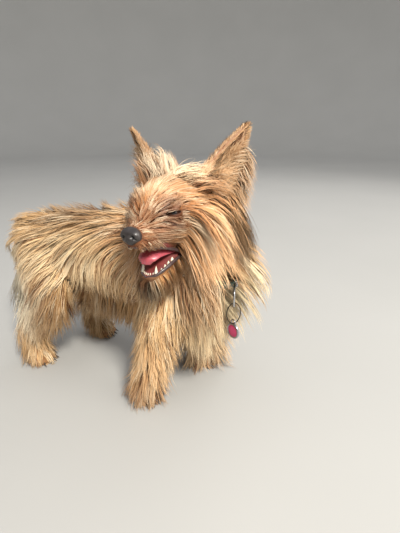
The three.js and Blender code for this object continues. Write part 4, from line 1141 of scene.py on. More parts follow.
def make_strands(root, out, kind, coat):
    """Every tuft's path, ways out along it and its clump's tone, all after the nearest guide of its kind."""
    guides = rng.random(len(root)) < GUIDE_SHARE
    clumps, count = int(guides.sum()), len(root)
    g_points, g_normals, g_heights = grow_guides(root[guides], out[guides], kind[guides], coat[guides])
    tree = KDTree(clumps)
    apart = np.stack([kind * 1000.0, np.zeros(count), np.zeros(count)], 1)
    for i, place in enumerate((root + apart)[guides]):
        tree.insert(place, i)
    tree.balance()
    own = np.array([tree.find(place)[1] for place in root + apart])
    row = TABLE[kind]
    share = np.linspace(0, 1, STEPS + 1)
    low_hair = rng.random(count)
    on_head = (kind >= KIND["topknot"]) & (kind <= KIND["moustache"])
    reach = rng.uniform(*TUFT_REACHES, count) * np.where(low_hair < UNDERCOAT_SHARE, UNDERCOAT_REACH, 1.0)
    reach *= np.where(on_head & (low_hair > SHORT_ON_HEAD_ABOVE), SHORT_ON_HEAD_REACH, 1.0)
    layer = rng.uniform(*TUFT_LAYERS, count) ** 0.7
    clump = row[:, CLUMPING] * rng.uniform(*CLUMPINGS, clumps)[own]
    phase = rng.uniform(0, ROUND, clumps)[own] + rng.normal(0, 0.5, count)
    turns = rng.uniform(*WAVE_TURNS, clumps)[own]
    wave, offset = row[:, WAVE], root - g_points[own, 0]
    points, ways = [], []
    for t in share:
        place = t * reach * STEPS
        low = np.minimum(place.astype(int), STEPS - 1)
        part = (place - low)[:, None]
        p = g_points[own, low] * (1 - part) + g_points[own, low + 1] * part
        n = unit(g_normals[own, low] * (1 - part) + g_normals[own, low + 1] * part)
        h = g_heights[own, low] * (1 - part[:, 0]) + g_heights[own, low + 1] * part[:, 0]
        across = np.cross(unit(g_points[own, low + 1] - g_points[own, low]), n)
        keep = 1 - clump * (t * reach) ** 0.7
        p = p + offset * keep[:, None] - n * (h * (1 - layer))[:, None]
        swing = wave * t**1.2 * np.sin(phase + ROUND * turns * t)
        points.append(p + across * swing[:, None] + n * (0.35 * wave * t * np.cos(phase + 4 * t))[:, None])
        ways.append(n)
    points, ways = np.stack(points, 1), np.stack(ways, 1)
    facing = ((kind == KIND["chest"]) | (kind == KIND["ruff"])) * smooth(root[:, 0], 95, 125)
    facing = facing + 0.6 * (kind == KIND["cheek"]) * smooth(to_head(root)[:, 1], 5, 25)
    facing = facing + 0.7 * (kind == KIND["topknot"])
    ways = ways + (0.9 * facing)[:, None, None] * TO_LIGHT
    frizz = rng.normal(0, 1, (count, 3)) * (row[:, STRAY] * (0.9 + 0.03 * row[:, LENGTH]))[:, None]
    points += frizz[:, None] * (share**1.5)[None, :, None]
    points[:, 0] -= out
    points[:, :, 2] = np.maximum(points[:, :, 2], 0.5)
    return within_box(points), ways, rng.normal(0, 0.2, clumps)[own]


def resampled(rows, count):
    """Rows of points along each tuft, at fewer even shares."""
    place = np.linspace(0, rows.shape[1] - 1, count)
    low = np.minimum(place.astype(int), rows.shape[1] - 2)
    part = (place - low)[None, :, None]
    return rows[:, low] * (1 - part) + rows[:, low + 1] * part


# A tuft's width from root to tip by its number of rings, its thickness to its width, and its patch of the map
PROFILE = {3: [0.7, 1, 0.6], 4: [0.6, 1, 0.85, 0.5], 5: [0.55, 0.95, 1, 0.8, 0.45]}
FLATNESS = 0.55
ROUNDNESS = 0.7
PATCH = 0.003


def blades(points, ways, width, rings, unwrap, shade, root):
    """Closed three-sided tufts that taper to a point, as arrays of a mesh."""
    count, size = len(points), rings * 3 + 1
    path = resampled(points, rings + 1)
    normal = unit(resampled(ways, rings + 1))
    way = unit(np.gradient(path, axis=1))
    across = unit(np.cross(way, normal))
    lift = np.cross(across, way)
    half = (width[:, None] / 2 * np.array(PROFILE[rings]))[:, :, None]
    body, a, n, out = path[:, :rings], across[:, :rings], lift[:, :rings], normal[:, :rings]
    thick = half * FLATNESS
    corners = [body - a * half - n * thick * 0.5, body + a * half - n * thick * 0.5, body + n * thick]
    vertices = np.concatenate([np.stack(corners, 2).reshape(count, rings * 3, 3), path[:, rings:]], 1)
    soft = np.stack([unit(out - a * ROUNDNESS), unit(out + a * ROUNDNESS), out], 2)
    normals = np.concatenate([soft.reshape(count, rings * 3, 3), normal[:, rings:]], 1)
    faces = [(0, 1, 2)]
    for r in range(rings - 1):
        for i in range(3):
            p, q = r * 3 + i, r * 3 + (i + 1) % 3
            faces += [(p, p + 3, q + 3), (p, q + 3, q)]
    for i in range(3):
        faces.append(((rings - 1) * 3 + i, rings * 3, (rings - 1) * 3 + (i + 1) % 3))
    triangles = np.array(faces)[None] + (np.arange(count) * size)[:, None, None]
    along = np.append(np.repeat(np.linspace(0, 1, rings + 1)[:rings], 3), 1.0)
    aside = np.append(np.tile([0.0, 1.0, 0.5], rings), 0.5)
    patch = np.stack([aside - 0.5, along - 0.5], 1) * PATCH
    return {
        "vertices": vertices.reshape(-1, 3),
        "normals": normals.reshape(-1, 3),
        "triangles": triangles.reshape(-1, 3),
        "uv": (unwrap[:, None] + patch[None]).reshape(-1, 2),
        "along": np.tile(along, count),
        "shade": np.repeat(shade, size),
        "root": np.repeat(to_row(root), size, axis=0),
    }


def coat_object(name, parts):
    """One piece of coat from several arrays of tufts."""
    start, triangles = 0, []
    for part in parts:
        triangles.append(part["triangles"] + start)
        start += len(part["vertices"])
    stacked = {key: np.concatenate([part[key] for part in parts]) for key in parts[0] if key != "triangles"}
    triangles = np.concatenate(triangles)
    mesh = bpy.data.meshes.new(name)
    mesh.vertices.add(start)
    mesh.vertices.foreach_set("co", to_row(stacked["vertices"]).astype(np.float32).ravel())
    mesh.loops.add(triangles.size)
    mesh.loops.foreach_set("vertex_index", triangles.astype(np.int32).ravel())
    mesh.polygons.add(len(triangles))
    mesh.polygons.foreach_set("loop_start", np.arange(0, triangles.size, 3, dtype=np.int32))
    mesh.polygons.foreach_set("use_smooth", np.ones(len(triangles), bool))
    mesh.update(calc_edges=True)
    layer = mesh.uv_layers.new(name="OFBake")
    layer.data.foreach_set("uv", stacked["uv"][triangles.ravel()].astype(np.float32).ravel())
    store(mesh, "along", stacked["along"])
    store(mesh, "shade", stacked["shade"])
    store(mesh, "root", stacked["root"], "FLOAT_VECTOR")
    mesh.normals_split_custom_set_from_vertices(stacked["normals"])
    mesh.materials.append(COAT)
    made = linked(name, mesh)
    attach(made, "root")
    return made


# The pieces of coat, each a share of the limbs
PIECES = {
    "coat_torso_left": ["torso"],
    "coat_torso_right": ["torso"],
    "coat_chest": ["torso"],
    "coat_neck": ["neck"],
    "coat_head_left": ["skull"],
    "coat_head_right": ["skull"],
    "coat_face": ["muzzle", "jaw"],
    "coat_tail": ["tail"],
    "coat_foreleg_right": ["foreleg_right"],
    "coat_foreleg_left": ["foreleg_left"],
    "coat_hindleg_right": ["thigh_right", "shank_right"],
    "coat_hindleg_left": ["thigh_left", "shank_left"],
}


def coat_depth(root, kind, coat):
    """The coat's depth at each root, with more on left cheek, back and chest and less on rump and tail."""
    x, y, z = root.T
    left = smooth(to_head(root)[:, 1], 10, 30)
    coat = coat * np.where(kind == KIND["cheek"], 1 + 1.4 * left, 1)
    middle = smooth(x, -105, -30) * (1 - smooth(x, 60, 95))
    behind = 1 - smooth(x, -128, -98)
    coat = coat * np.where(kind == KIND["back"], 1 + 0.85 * middle - 0.7 * behind, 1)
    coat = coat * np.where(kind == KIND["chest"], 1 + 0.4 * smooth(y, -8, 8), 1)
    return coat * np.where((kind == KIND["tail"]) & (z > 140), 0.35, 1)


def grow_coat():
    root, out = sample_skin(bare_skin, density_at)
    _, _, who, along, turn, coat = nearest_limb(root)
    kind = kinds_at(root, who, turn)
    points, ways, tone = make_strands(root, out, kind, coat_depth(root, kind, coat))
    good = ~over_face(points)
    even = (kind >= KIND["crown"]) & (kind <= KIND["cheek"])
    shade = 0.5 + 0.1 * even + np.where(even, 0.45, 1) * tone + 0.2 * noise(root, 7, 8)
    shade = np.clip(shade + rng.normal(0, 0.15, len(root)), 0, 1)
    width = TABLE[kind, WIDTH] * rng.uniform(*TUFT_WIDTHS, len(root))
    rings = TABLE[kind, RINGS].astype(int)
    side = np.where(on(who, "skull"), to_head(root)[:, 1], root[:, 1])
    for name, limbs in PIECES.items():
        mine = good & on(who, *limbs)
        halves = name.endswith(("_left", "_right")) and limbs[0] in ("torso", "skull")
        if halves:
            mine &= (side > 0) == name.endswith("_left")
        if limbs[0] == "torso":
            mine &= (kind == KIND["chest"]) == (name == "coat_chest")
        tile = on(who, limbs[-1]) * (len(limbs) - 1)
        wide = np.degrees(turn) % 360 / 360
        if halves:
            wide = (wide * 2 + 0.5) % 1
        unwrap = np.stack([(tile + 0.04 + 0.92 * wide) / len(limbs), 0.02 + 0.96 * along], 1)
        parts = []
        for count in np.unique(rings[mine]):
            these = mine & (rings == count)
            parts.append(blades(points[these], ways[these], width[these], int(count), unwrap[these],
                                shade[these], root[these]))
        coat_object(name, parts)


grow_coat()


# The hair of the ears and the lids, which grows in rows of its own
def bent_tufts(root, out, way, length, bend):
    """Paths that leave each root along its way and bend towards its bend."""
    share = np.linspace(0, 1, STEPS + 1)[None, :, None]
    way = unit(way)
    bend = np.broadcast_to(bend, way.shape)
    path = root[:, None] + length[:, None, None] * (share * way[:, None] + share**2 * bend[:, None])
    ripple = np.cross(out, way)
    turn = 0.05 * length * np.sin(4 * noise(root, 9, 21))
    path = path + ripple[:, None] * (turn[:, None] * np.sin(np.linspace(0, 4, STEPS + 1))[None])[:, :, None]
    return path, np.repeat(unit(out)[:, None], STEPS + 1, 1)


# Hair of the ears, as (how many, part of the ear's length, part of its width with the outer rim at 1, length,
# ways (out, up the ear, to the nearer rim), depth under the outer face, droop, width, rings, tone)
EAR_HAIR = [
    (1400, (0, 0.96), (-0.97, 0.97), 12, (0.22, 0.95, 0), 0, 0, 0.85, 3, 0.45),
    (600, (0, 0.96), (0.88, 1), 10, (0.4, 0.8, 0.5), 0, -0.05, 0.65, 3, 0.5),
    (560, (0, 0.96), (-1, -0.88), 8, (0.3, 0.85, 0.3), 0, -0.05, 0.65, 3, 0.5),
    (340, (0, 0.96), (0.8, 1), 9, (-0.15, 0.9, 0.3), 2.2, 0, 0.55, 3, 0.45),
    (340, (0, 0.96), (-1, -0.8), 9, (-0.15, 0.9, 0.3), 2.2, 0, 0.55, 3, 0.45),
    (520, (0.02, 0.75), (0.85, 1), 28, (0.75, -0.1, 0.3), 0, -0.4, 0.65, 4, 0.55),
    # Short hair inside the cup, at the darkest tone: painted shade in the ear's hollow
    (900, (0, 0.95), (-0.97, 0.97), 15, (-0.2, 0.95, 0), 2, 0, 0.65, 3, 0.1),
    (560, (0, 0.45), (-1, 0), 40, (-0.4, 0.8, -0.3), 2, -0.1, 0.65, 4, 0.75),
    (380, (0, 0.5), (-0.6, 1), 36, (-0.5, 0.85, -0.1), 2, -0.1, 0.6, 4, 0.55),
    (560, (-0.1, 0.15), (-1, 0.6), 36, (-0.7, 0.6, 0), 1, -0.25, 0.7, 4, 0.55),
    (420, (-0.2, 0.12), (-1, -0.7), 22, (0.0, 0.8, -0.1), 1, -0.1, 0.6, 4, 0.25),
    (860, (-0.08, 0.16), (0.3, 1), 48, (0.8, -0.3, 0.45), 0, -0.65, 0.8, 4, 0.6),
    (360, (-0.06, 0.1), (-1, 0.3), 22, (0.4, -0.5, 0), 0, -0.2, 0.7, 4, 0.55),
]


def tones(middle, spread, count):
    return np.clip(rng.normal(middle, spread, count), 0, 1)


def ear_hair(side):
    """Short hair on the ear's back, fringes on both rims, and long pale wisps in and across the cup."""
    made = []
    opening = ear_frame(side, 0)[1]
    for count, ends, across, long, (away, up, rimward), inset, droop, wide, rings, tone in EAR_HAIR:
        t = rng.uniform(*ends, count)
        share = side * rng.uniform(*across, count)
        rows = [ear_point(side, max(a, 0), b, inset) for a, b in zip(t, share)]
        root, out, axis = (np.array(column) for column in zip(*rows))
        root += axis * EAR_LENGTH * np.minimum(t, 0)[:, None]
        to_rim = np.cross(out, axis) * np.sign(share)[:, None]
        wander = rng.normal(0, 0.13, (count, 3)) + 0.25 * noise(root, 8, 31)[:, None] * to_rim
        way = away * out + up * axis + rimward * to_rim + wander
        length = long * rng.uniform(0.7, 1.15, count) * (1 - 0.45 * np.maximum(t, 0))
        outside = inset < 1
        facing = out if outside else -out
        if max(across) < -0.4 or min(across) > 0.4:
            facing = unit(facing * 0.3 + 0.8 * opening + 0.7 * UPWARD)
        elif not outside:
            facing = unit(facing + 0.25 * opening + 0.2 * UPWARD)
        path, ways = bent_tufts(root, facing, way, length, droop * UPWARD)
        unwrap = np.stack([0.04 + 0.92 * (share + 1) / 2, 0.02 + 0.96 * np.clip(t, 0, 1)], 1)
        shade = tones(tone, 0.16, count)
        width = wide * rng.uniform(0.7, 1.2, count)
        made.append(blades(within_box(path), ways, width, rings, unwrap, shade, root))
    return made


def lid_hair(side):
    """Short hair on both lids and about the eye, lying away from its inner corner."""
    made = []
    axes = lid_axes(side)
    for sign, count, extra in ((1, 620, 3), (-1, 520, 0)):
        azimuth = rng.uniform(math.radians(-98), math.radians(98), count)
        rim = LID_ANGLE * np.sqrt(np.maximum(1 - (azimuth / LID_SPAN / SLIT_SHARE) ** 2, 0))
        a = rim + 0.12 + (math.radians(92) - rim) * rng.uniform(0, 1, count)
        out = np.stack([np.cos(a) * np.cos(azimuth), np.cos(a) * np.sin(azimuth), sign * np.sin(a)], 1) @ axes
        root = eye_spot(side) + (EYE_RADIUS + 1.6) * out
        way = sign * 0.75 * axes[2] + head_way(-0.75, side * 0.55, 0.1)
        way = way - out * dot(way, out)[:, None]
        way = unit(way) + 0.3 * out + rng.normal(0, 0.14, (count, 3))
        path, ways = bent_tufts(root, out, way, rng.uniform(4, 7.5, count) + extra, -0.18 * out)
        unwrap = np.stack([0.5 + 0.4 * azimuth / 1.5, 0.5 + sign * 0.25 * a], 1)
        shade = tones(0.35, 0.15, count)
        made.append(blades(path, ways, 0.5 * rng.uniform(0.7, 1.2, count), 4, unwrap, shade, root))
    return made


for number, name in ((1, "left"), (-1, "right")):
    coat_object(f"coat_ear_{name}", ear_hair(number))
    coat_object(f"coat_lids_{name}", lid_hair(number))


# Separate pieces: eyes, nose, lips, teeth, tongue, claws and what the dog wears
def piece(name, parts, material, slot, *nodes):
    made = mesh_object(name, *merged(parts))
    made.data.materials.append(material)
    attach(made, "root")
    if nodes:
        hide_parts(*nodes)
    return made


def eye_material(side):
    material, tree, shader = new_material("eye", 0.06, Specular_IOR_Level=0.35, Coat_Weight=0.35,
                                          Coat_Roughness=0.05)
    place = object_place(tree)
    ends = {0: place, 1: tuple(to_row(eye_spot(side) + EYE_RADIUS * eye_way(side)))}
    distance = node(tree, "ShaderNodeVectorMath", ends, operation="DISTANCE").outputs["Value"]
    iris = mix_colour(tree, cloud(tree, place, 1400.0, 3.0), linear((32, 16, 9)), linear((60, 32, 18)))
    colour = mix_colour(tree, ramp(tree, distance, 0.0019, 0.0023), linear((8, 6, 6)), iris)
    colour = mix_colour(tree, ramp(tree, distance, 0.0052, 0.0058), colour, linear((52, 38, 34)))
    colour_shader(tree, shader, colour)
    return material


def make_eyes():
    for side, name in ((1, "left"), (-1, "right")):
        axes = frame_axes(eye_way(side), head_way(0, 0, 1))
        v, f = ellipsoid(eye_spot(side), axes, [EYE_RADIUS] * 3, 32, 48)
        forward = dot(v - eye_spot(side), eye_way(side))
        bulge = smooth(forward, EYE_RADIUS * 0.72, EYE_RADIUS) * 0.6
        v = v + bulge[:, None] * eye_way(side)
        piece(f"eyeball_{name}", [(v, f)], eye_material(side), "eye", f"eye_{name}")


def nose_material():
    material = mottled("nose", 0.38, 160.0, 4.0, (24, 21, 22), (62, 54, 52), (1100.0, 0.5, 0.0003),
                       Specular_IOR_Level=0.5, Coat_Weight=0.25, Coat_Roughness=0.3)
    tree = material.node_tree
    shader = tree.nodes["Principled BSDF"]
    colour = shader.inputs["Base Color"].links[0].from_socket
    # The pits' mask darkens the nostrils to near black: painted shade inside the nostril pits
    colour_shader(tree, shader, mix_colour(tree, attribute(tree, "pit_and_shade"), colour, (0.002, 0.002, 0.002)))
    return material


def make_nose():
    """The nose pad: two comma-shaped nostrils, the groove between them and the wings at the sides."""
    axes = frame_axes(head_way(1, 0, 0.12), head_way(0, 0, 1))
    centre = in_head(34, 0, -15)
    v, f = ellipsoid(centre, axes, [NOSE_HALF_DEPTH, NOSE_HALF_WIDTH, NOSE_HALF_HEIGHT], 56, 84)
    x, y, z = ((v - centre) @ axes.T).T
    y_side = np.abs(y)
    front = smooth(x, 0.5, 3)
    pit_and_shade = np.exp(-(((y_side - 4.5) / 1.9) ** 2 + ((z + 0.2) / 1.6) ** 2))
    slit = np.exp(-(((y_side - 6.9) / 1.8) ** 2 + ((z + 2.3 + 0.3 * (y_side - 7)) / 0.8) ** 2))
    groove = np.exp(-((y / 0.55) ** 2)) * smooth(1.5 - z, 0, 3)
    wing = np.exp(-(((y_side - 6.2) / 2.2) ** 2 + ((z - 1.5) / 2.6) ** 2))
    flat = smooth(z, 3.5, 8)
    depth = -3.2 * pit_and_shade - 1.3 * slit - 0.9 * groove + 0.9 * wing - 0.8 * flat
    v = v + (depth * front)[:, None] * axes[0]
    narrow = smooth(-z, 2, 8) * 0.35
    v = v + (y * (0.12 - narrow))[:, None] * axes[1]
    pad = piece("nose_pad", [(v, f)], nose_material(), "nose", "nose")
    # The nostril pits, stored as a mask for the painted shade that darkens them to near black
    store(pad.data, "pit_and_shade", np.clip(1.5 * (pit_and_shade + 0.8 * slit) - 0.4, 0, 1) * front)


def lip_rod(points, radius):
    """A rounded strip along points that thins to both ends."""
    centre = spline(points, 26)
    tangent = unit(np.gradient(centre, axis=0))
    up = unit(np.cross(tangent, HEAD_LEFT))
    across = np.cross(up, tangent)
    rings = []
    angle = around(12)
    for i, share in enumerate(np.linspace(0, 1, len(centre))):
        r = radius * (0.35 + 0.65 * math.sin(math.pi * min(max(share, 0.04), 0.96)) ** 0.4)
        r *= 1 + 0.08 * math.sin(41 * share)
        wide, high = 0.8 * np.cos(angle)[:, None] * across[i], np.sin(angle)[:, None] * up[i]
        rings.append(centre[i] + r * (wide + high))
    return tube(rings)

def make_lips():
    rods = []
    for side in (-1, 1):
        corner = in_head(-14, side * 17.2, -41)
        upper = [(35, 3, -24.6), (28, 8.6, -26.4), (16, 12.4, -28.4), (3, 15.2, -32.4), (-7, 17, -36.8)]
        lower = [(-12, 17, -43.5), (-3, 15.4, -46.8), (8, 12.8, -51.4), (16, 8, -55.6), (20.4, 0, -57.4)]
        rods.append(lip_rod([in_head(u, side * v, w) for u, v, w in upper] + [corner], 1.7))
        rods.append(lip_rod([corner] + [in_head(u, side * v, w) for u, v, w in lower], 1.8))
    material = mottled("lip", 0.34, 240.0, 3.0, (34, 26, 26), (92, 70, 68), (0, 0.3, 0.0006),
                       Specular_IOR_Level=0.5, Coat_Weight=0.3, Coat_Roughness=0.2)
    piece("lips", rods, material, "lip")


def tooth(u, v, w, height, radius, sign, lean=0.0):
    """A slightly curved cone with a rounded foot, pointing down from the upper gum or up from the lower."""
    rings = []
    for share in np.linspace(0, 1, 9):
        r = radius * (1 - share**1.7) * (1 if share > 0.1 else 0.9) + 0.12
        x, z = u - lean * share**2 * height, w + sign * (1.6 - share * height)
        rings.append([in_head(x + r * 1.05 * math.cos(a), v + r * 0.8 * math.sin(a), z) for a in around(12)])
    return tube(rings if sign < 0 else rings[::-1])


def make_teeth():
    parts = []
    for i in range(6):
        across = i - 2.5
        parts.append(tooth(33 - 0.25 * across**2, across * 1.9, -25.4, 3, 1.05, 1))
        parts.append(tooth(18.4 - 0.36 * across**2, across * 2.1, -55.6, 4, 1.05, -1))
    for side in (-1, 1):
        parts.append(tooth(29.5, side * 6.8, -25.4, 6, 1.8, 1, 0.15))
        parts.append(tooth(14.6, side * 7.6, -54, 8.4, 1.9, -1, 0.1))
        for k, share in enumerate((0.2, 0.38, 0.56, 0.76)):
            spot = [30 - 36 * share, side * (7.5 + 5 * share), -26 - 4.5 * share]
            parts.append(tooth(*spot, 3.4 + k * 0.8, 1.7 + 0.3 * k, 1))
            spot = [14 - 24 * share, side * (9 + 5 * share), -54 + 10.5 * share]
            parts.append(tooth(*spot, 3.2 + k * 0.4, 1.5 + 0.3 * k, -1))
    material = mottled("tooth", 0.22, 320.0, 3.0, (244, 238, 222), (214, 196, 160),
                       Specular_IOR_Level=0.5, Subsurface_Weight=0.1)
    piece("teeth", parts, material, "tooth")


def make_tongue():
    """The tongue: broad, grooved down its middle, arched up and over at its end."""
    line = spline([(-28, 0, -38.5), (-16, 0, -38), (-4, 0, -36.8), (6, 0, -36.2), (14, 0, -37),
                   (19.4, 0, -40), (21, 0, -44.6)], 34)
    halves = spline([(h, 0, 0) for h in (11, 12.6, 13, 12.4, 11.4, 9.4, 5)], 34)[:, 0]
    tangent = unit(np.gradient(line, axis=0))
    rings = []
    for i, centre in enumerate(line):
        normal = np.array([-tangent[i, 2], 0, tangent[i, 0]])
        ends = math.sin(math.pi * min(max(i / 33, 0.03), 0.97)) ** 0.3
        ring = []
        for angle in around(28):
            s, h = math.cos(angle), math.sin(angle)
            groove = 1.5 * math.exp(-((s / 0.2) ** 2)) if h > 0 else 0
            over = h * 3.0 * ends - groove * ends - 2.4 * s * s
            ring.append(in_head(*(centre + normal * over + np.array([0, s * halves[i], 0]))))
        rings.append(ring)
    material = mottled("tongue", 0.36, 150.0, 4.0, (178, 86, 96), (168, 66, 78), (1300.0, 0.35, 0.0003),
                       Specular_IOR_Level=0.5, Coat_Weight=0.35, Coat_Roughness=0.25, Subsurface_Weight=0.12)
    piece("tongue_fine", [tube(rings)], material, "tongue", "tongue")


def make_claws():
    parts = []
    angle = around(10)
    for x, y in PAWS:
        for spread in TOES:
            toe = toe_place(x, y, spread, 5.8)
            way = unit([0.86, spread * 0.3, -0.1])
            across = unit(np.cross(way, UPWARD))
            rings = []
            for share in np.linspace(0, 1, 9):
                centre = toe + way * (3.5 + 8 * share) + UPWARD * (0.6 - 3.6 * share**1.6)
                r = 1.5 * (1 - share**1.8) + 0.15
                wide, high = 0.75 * np.cos(angle)[:, None] * across, np.sin(angle)[:, None] * UPWARD
                rings.append(centre + r * (wide + high))
            parts.append(tube(rings))
    piece("claws", parts, mottled("claw", 0.35, 500.0, 2.0, (44, 36, 32), (104, 84, 68)), "claw")


def swept(centres, section, up, closed=True):
    """A section of (across, up) points along a line of centres."""
    centres = np.asarray(centres, float)
    if closed:
        tangent = unit(np.roll(centres, -1, 0) - np.roll(centres, 1, 0))
    else:
        tangent = unit(np.gradient(centres, axis=0))
    rings = []
    for centre, along in zip(centres, tangent):
        across = unit(np.cross(along, up))
        lift = np.cross(across, along)
        rings.append([centre + x * across + y * lift for x, y in section])
    return tube(rings, closed)


def circle(centre, radius, first, second, count):
    """Points round a centre, from the first way towards the second."""
    return [centre + radius * (math.cos(a) * first + math.sin(a) * second) for a in around(count)]


def round_section(radius, sides=14):
    return [(radius * math.cos(a), radius * math.sin(a)) for a in around(sides)]


def spun(angle):
    return np.array([math.cos(angle), math.sin(angle), 0])


LOOP_STEPS = 72


def loop_line(top, half_height, half_width, angle, turns=1, coil=0.0):
    """A hanging ring's centreline below its top, in the upright plane across the angle's way."""
    across = spun(angle + math.pi / 2)
    made = []
    for a in np.arange(LOOP_STEPS * turns) / LOOP_STEPS * 2 * math.pi:
        side = coil * (a / (2 * math.pi * turns) - 0.5) * 2
        made.append(top + half_width * math.sin(a) * across + half_height * (math.cos(a) - 1) * UPWARD
                    + side * spun(angle))
    return made


CAMERA_SIDE = math.radians(-73)
SPLIT_TOP = TOP_RING + UPWARD * (-2 * RING_RADIUS + RING_WIRE + TAG_RING_WIRE + 0.45)
TAG_HOLE = SPLIT_TOP + UPWARD * (-2 * TAG_RING_HALF_LENGTH + 1.1)
TAG_CENTRE = TAG_HOLE + UPWARD * (-TAG_RADIUS - 1.6)
TAG_WAY = spun(CAMERA_SIDE - math.radians(45))


def metal(name, colour, roughness):
    material, tree, shader = new_material(name, roughness, Metallic=1.0)
    wear = cloud(tree, object_place(tree), 420.0, 5.0)
    limits = {"Value": wear, "To Min": roughness * 0.7, "To Max": roughness * 1.6}
    tree.links.new(node(tree, "ShaderNodeMapRange", limits).outputs[0], shader.inputs["Roughness"])
    base = linear(colour)
    colour_shader(tree, shader, mix_colour(tree, wear, tuple(0.75 * c for c in base), base))
    return material


def collar_material():
    material, tree, shader = new_material("collar", 0.78, Sheen_Weight=0.3)
    place = object_place(tree)
    threads = {}
    for i, (scale, distortion, way) in enumerate(((260.0, 0.6, "Y"), (240.0, 0.5, "X"))):
        inputs = {"Vector": place, "Scale": scale, "Distortion": distortion}
        threads[i] = node(tree, "ShaderNodeTexWave", inputs, bands_direction=way).outputs["Fac"]
    weave = node(tree, "ShaderNodeMath", threads, operation="MULTIPLY").outputs[0]
    colour_shader(tree, shader, mix_colour(tree, weave, linear((34, 52, 36)), linear((70, 96, 62))))
    bump_shader(tree, shader, weave, 0.5, 0.0004)
    return material


def make_worn():
    long, wide = COLLAR_OUT * COLLAR_HALF_LONG, LEFTWARD * COLLAR_HALF_WIDE
    line = [COLLAR_CENTRE + long * math.cos(a) + wide * math.sin(a) for a in around(120)]
    half, thick, edge = COLLAR_WIDTH / 2, COLLAR_THICK / 2, 0.5
    strap = [(-thick, -half + edge), (-thick + edge, -half), (thick - edge, -half), (thick, -half + edge),
             (thick, -1.2), (thick + 0.15, -0.9), (thick, -0.6), (thick, 0.6), (thick + 0.15, 0.9),
             (thick, 1.2), (thick, half - edge), (thick - edge, half), (-thick + edge, half),
             (-thick, half - edge)]
    piece("collar_strap", [swept(line, strap[::-1], COLLAR_NORMAL)], collar_material(), "collar", "collar")
    steel = metal("steel", (206, 208, 212), 0.22)
    keeper = circle(COLLAR_FRONT + COLLAR_OUT * 1.9, 3.1, UPWARD, np.array([1.0, 0, 0]), 40)
    piece("collar_keeper", [swept(keeper, round_section(0.85), LEFTWARD)], steel, "steel")
    angle = CAMERA_SIDE + math.pi / 2
    ring = swept(loop_line(TOP_RING, RING_RADIUS, RING_RADIUS, angle), round_section(RING_WIRE), spun(angle))
    piece("collar_ring_fine", [ring], steel, "steel", "collar_ring")
    angle = CAMERA_SIDE + math.radians(20)
    coil = loop_line(SPLIT_TOP, TAG_RING_HALF_LENGTH, TAG_RING_RADIUS, angle, 2, 0.42)
    wire = swept(coil, round_section(0.46, 10), spun(angle), False)
    piece("split_ring", [wire], metal("black_wire", (52, 52, 56), 0.35), "black_wire", "tag_ring")
    make_tag()


def make_tag():
    """A round tag: a plain face set in a raised metal rim, with an eye at the top."""
    across = np.cross(UPWARD, TAG_WAY)
    face, rim, edge = TAG_RADIUS - 1.5, TAG_RADIUS - 0.3, TAG_RADIUS + 0.5

    def turned(profile):
        return tube([circle(TAG_CENTRE + h * TAG_WAY, r, across, UPWARD, 64) for r, h in profile])

    border = turned([(face, -0.7), (face + 0.1, -1.25), (rim, -1.3), (edge, -0.5), (edge + 0.05, 0),
                     (edge, 0.5), (rim, 1.3), (face + 0.1, 1.25), (face, 0.7)])
    eye = circle(TAG_CENTRE + UPWARD * (TAG_RADIUS + 1.6), 3.15, across, UPWARD, 36)
    loop = swept(eye, round_section(0.7, 10), TAG_WAY)
    piece("tag_rim", [border, loop], metal("tag_rim", (196, 198, 204), 0.28), "tag_rim")
    disc = turned([(0.05, -0.72), (2, -0.8), (face - 0.3, -0.84), (face + 0.15, -0.6), (face + 0.15, 0.6),
                   (face - 0.3, 0.84), (2, 0.8), (0.05, 0.72)])
    material = mottled("tag_face", 0.32, 260.0, 4.0, (228, 72, 128), (198, 66, 112),
                       Coat_Weight=0.5, Coat_Roughness=0.15)
    piece("tag_disc", [disc], material, "tag_face", "tag")


make_eyes()
make_nose()
make_lips()
make_teeth()
make_tongue()
make_claws()
make_worn()


# Studio: a pale floor that rises behind, soft light from above the camera, and the photograph's viewpoint
FLOOR_RADIUS = 3.2
FLOOR_CURVE = 1.4
FLOOR_SIDES = 96
CAMERA_PLACE = (262.5, -363.3, 300.0)
CAMERA_DOWN = 20.8
CAMERA_TURN = 23
CAMERA_SENSOR = 36
CAMERA_LENS = 26

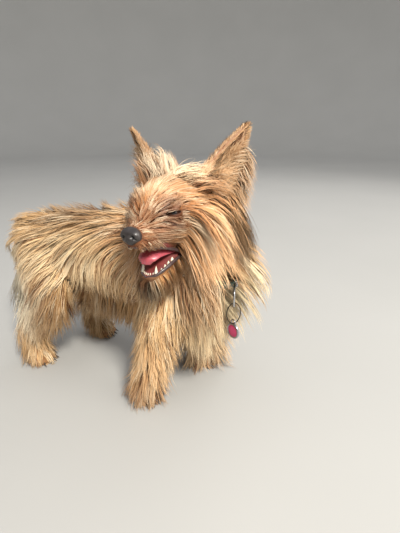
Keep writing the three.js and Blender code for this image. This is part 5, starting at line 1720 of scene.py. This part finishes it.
# Each light's name, place, size, power and colour, all aimed at one spot
LIT_SPOT = Vector((0, 0, 0.15))
LIGHTS = [
    ("key", (1.35, -1.15, 1.9), 0.5, 88, (1, 0.96, 0.88)),
    ("fill", (1.9, -0.2, 0.8), 1.4, 14, (1, 0.97, 0.92)),
    ("rim", (0.3, 1.5, 1.2), 1.0, 8, (1, 0.98, 0.95)),
]


def make_floor():
    profile = [(0.01, 0.0), (0.4, 0.0), (FLOOR_RADIUS, 0.0)]
    profile += [(FLOOR_RADIUS + FLOOR_CURVE * math.sin(a), FLOOR_CURVE - FLOOR_CURVE * math.cos(a))
                for a in np.linspace(0.1, math.pi / 2, 12)]
    profile += [(4.6, 3.4)]
    v, f = tube([[(r * math.cos(a), r * math.sin(a), z) for a in around(FLOOR_SIDES)] for r, z in profile])
    floor = mesh_object("floor", v, f[:-FLOOR_SIDES], loose=True)
    floor.data.materials.append(mottled("floor", 0.7, 3.0, 2.0, (172, 171, 168), (180, 179, 176),
                                        Specular_IOR_Level=0.2))


def make_light():
    scene = bpy.context.scene
    world = bpy.data.worlds.new("studio")
    scene.world = world
    world.use_nodes = True
    sky = world.node_tree.nodes["Background"]
    sky.inputs["Color"].default_value = (0.94, 0.96, 1, 1)
    sky.inputs["Strength"].default_value = 0.72
    scene.view_settings.view_transform = "Standard"
    for name, place, size, power, colour in LIGHTS:
        light = bpy.data.lights.new(name, "AREA")
        light.energy, light.size, light.color = power, size, colour
        made = linked(name, light)
        made.location = place
        made.rotation_euler = (LIT_SPOT - Vector(place)).to_track_quat("-Z", "Y").to_euler()


def make_camera():
    data = bpy.data.cameras.new("camera")
    data.sensor_width, data.lens = CAMERA_SENSOR, CAMERA_LENS
    data.sensor_fit = "AUTO"
    data.clip_start, data.clip_end = 0.01, 50
    camera = linked("camera", data)
    camera.location = to_row(CAMERA_PLACE)
    camera.rotation_euler = (math.radians(90 - CAMERA_DOWN), 0, math.radians(CAMERA_TURN))
    bpy.context.scene.camera = camera


make_floor()
make_light()
make_camera()
